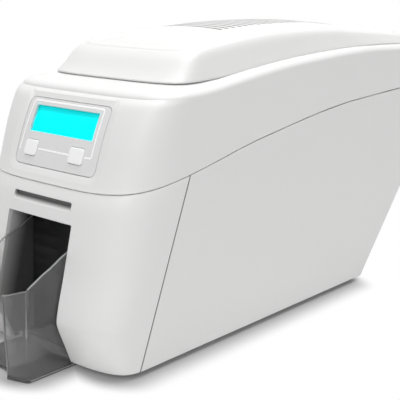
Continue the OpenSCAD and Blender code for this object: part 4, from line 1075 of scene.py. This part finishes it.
# the floor is low before the step and raised behind it
BIN_STEP, BIN_BACK, BIN_FOOT, BIN_RAISED, BIN_INSIDE = -176.0, -127.0, 0.6, 6.9, 30.3
BIN_RIM = [(-240, 48), (-224.5, 54.8), (-223.1, 56.3), (-221.8, 58.4), (-219.8, 61),
           (-217.5, 62.5), (-211.5, 65.8), (-203.3, 70.3), (-198, 72.6), (-187.3, 78.5),
           (-174, 83.4), (-163.2, 89), (-156, 92), (-120, 92)]
SIDE_COLUMNS, CORNER_COLUMNS, FRONT_COLUMNS = 40, 8, 16


def bin_plan(inset, column, z):
    """Plan of one bin wall at height z, from the rear of its side to the finger opening."""
    hw, nose, corner = BIN_HW - inset, BIN_NOSE + inset, BIN_CORNER - inset
    y_corner = nose + BIN_BOW
    if column <= SIDE_COLUMNS:
        return hw, BIN_BACK + (y_corner + corner - BIN_BACK) * column / SIDE_COLUMNS
    turn = min((column - SIDE_COLUMNS) / CORNER_COLUMNS, 1) * (pi / 2 - 0.28)
    x = hw - corner * (1 - cos(turn))
    y = y_corner + corner * (1 - sin(turn))
    t = (column - SIDE_COLUMNS - CORNER_COLUMNS) / FRONT_COLUMNS
    if t > 0:
        step = y - nose - BIN_BOW * (x / hw) ** 2
        x += (16.1 - 6.2 * (z - 2.6) / 77.4 - x) * t
        y = nose + BIN_BOW * (x / hw) ** 2 + step * (1 - t) ** 2
    return x, y


def make_bin_wall(side, rim, levels=16):
    """One side of the bin with its front corner, a painted highlight along its rim and a painted
    bright line along its foot.
    """
    count = SIDE_COLUMNS + CORNER_COLUMNS + FRONT_COLUMNS + 1
    points = []
    for inset in (0, BIN_WALL):
        for column in range(count):
            low = BIN_FOOT if bin_plan(0, column, 0)[1] < BIN_STEP else BIN_RAISED
            share = min(max((column - SIDE_COLUMNS + 6) / 8, 0), 1)
            for j in range(levels + 1):
                z = 60 * j / levels
                for _ in range(4):       # the rim's height depends on where the wall stands
                    x, y = bin_plan(inset, column, z)
                    y += (z - BIN_FOOT) * BIN_LEAN * share
                    top = float(rim(y - inset * (column > SIDE_COLUMNS)))
                    z = low + (top - low) * j / levels
                points.append((side * x, y, z))
    wall = mesh_object("wall", points, slab_faces(count - 1, levels))
    face_outward(wall)
    soften(wall, 0.45, 3)

    def both(column, level):
        """The outer and the inner point of the wall."""
        first = column * (levels + 1) + level
        return (np.array(points[i]) for i in (first, first + len(points) // 2))

    # a thin strip that follows the top edge and turns down the finger opening: a painted rim
    # highlight
    path = [(i, levels) for i in range(4, count)] + [(count - 1, j) for j in range(levels, -1, -1)]
    strip = []
    for n, (i, j) in enumerate(path):
        a, b = both(i, j)
        up = np.array((0, 0, 0.06) if n < count - 4 else (-0.06 * side, 0, 0))
        near, far = a + (b - a) * 0.16, a + (b - a) * 0.84
        strip.append([near + up, far + up, far - up * 6, near - up * 6])
    # a painted highlight: a thin glowing strip along the wall's foot, in front of the step
    foot = []
    for i in range(SIDE_COLUMNS + 1):
        a, b = both(i, 0)
        if a[1] < BIN_STEP:
            out = (a - b) / np.linalg.norm(a - b)
            foot.append([a + out * u + np.array((0, 0, w))
                         for u, w in ((0.02, 0.5), (0.02, 1.1), (-0.5, 1.1), (-0.5, 0.5))])
    return wall, stack("rim", strip), stack("foot", foot)


def make_bin():
    rim = smooth_curve(BIN_RIM)
    walls, rim_highlight_strips, foot_highlight_strips = zip(*[make_bin_wall(side, rim) for side in (-1, 1)])
    plan = [bin_plan(0.06, c, 0) for c in range(SIDE_COLUMNS + CORNER_COLUMNS + 9)]
    plan = [(x, y) for x, y in plan if y < BIN_STEP]
    notch = [(22 * sin(a), BIN_NOSE - 14 + 22 * cos(a))
             for a in np.linspace(0.84, -0.84, 24)]
    half = [p for p in plan if p[0] > 17.5]
    shape = [(plan[0][0], BIN_STEP)] + half + notch
    shape += [(-x, y) for x, y in half[::-1]] + [(-plan[0][0], BIN_STEP)]
    plate = prism("card_stacker_floor", shape, lambda u, v, w: (u * 1.012, v, w), 0.2, 2.6)
    soften(plate, 0.4, 2)
    raised, riser, back = (prism("plate", rectangle(*box), along_x, -BIN_INSIDE, BIN_INSIDE)
                           for box in ((BIN_STEP - 2, BIN_RAISED, BIN_BACK, BIN_RAISED + 2),
                                       (BIN_STEP - 2, 2.65, BIN_STEP, BIN_RAISED - 0.05),
                                       (BIN_BACK - 2, 9, BIN_BACK - 0.1, 92)))
    ledge = prism("ledge", [(-129.1, 9), (-129.1, 13), (-159, 9.1), (-159, 9)], along_x,
                  0.1 - BIN_INSIDE, BIN_INSIDE - 0.1)
    base = join("card_stacker_floor", [plate, raised, riser, ledge])
    tray = join("card_stacker_bin", [*walls, back])
    smooth(tray)
    wear(tray, "smoke")
    # the strips paint the highlight along the bin's clear rim
    edges = join("card_stacker_rim_highlight", rim_highlight_strips)
    smooth(edges)
    wear(edges, "smoke", "rim")
    smooth(base)
    wear(base, "smoke", "smoke_floor")
    # the printed line's faintly glowing white paints the highlight along the bin's foot
    foot_highlight = join("card_stacker_foot_highlight", foot_highlight_strips)
    wear(foot_highlight, "smoke", "panel_line")
    for piece in (tray, edges, base, foot_highlight):
        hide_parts("card_stacker")
        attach(piece, "stacker")


# ------------ all together

place_camera()
light_the_room()
lay_floor()
dress_cad_nodes()
make_upper_housing()
make_front_cover()
make_hood()
make_bezel()
make_keys()
make_panel_lines()
make_screen_glow()
make_bin()
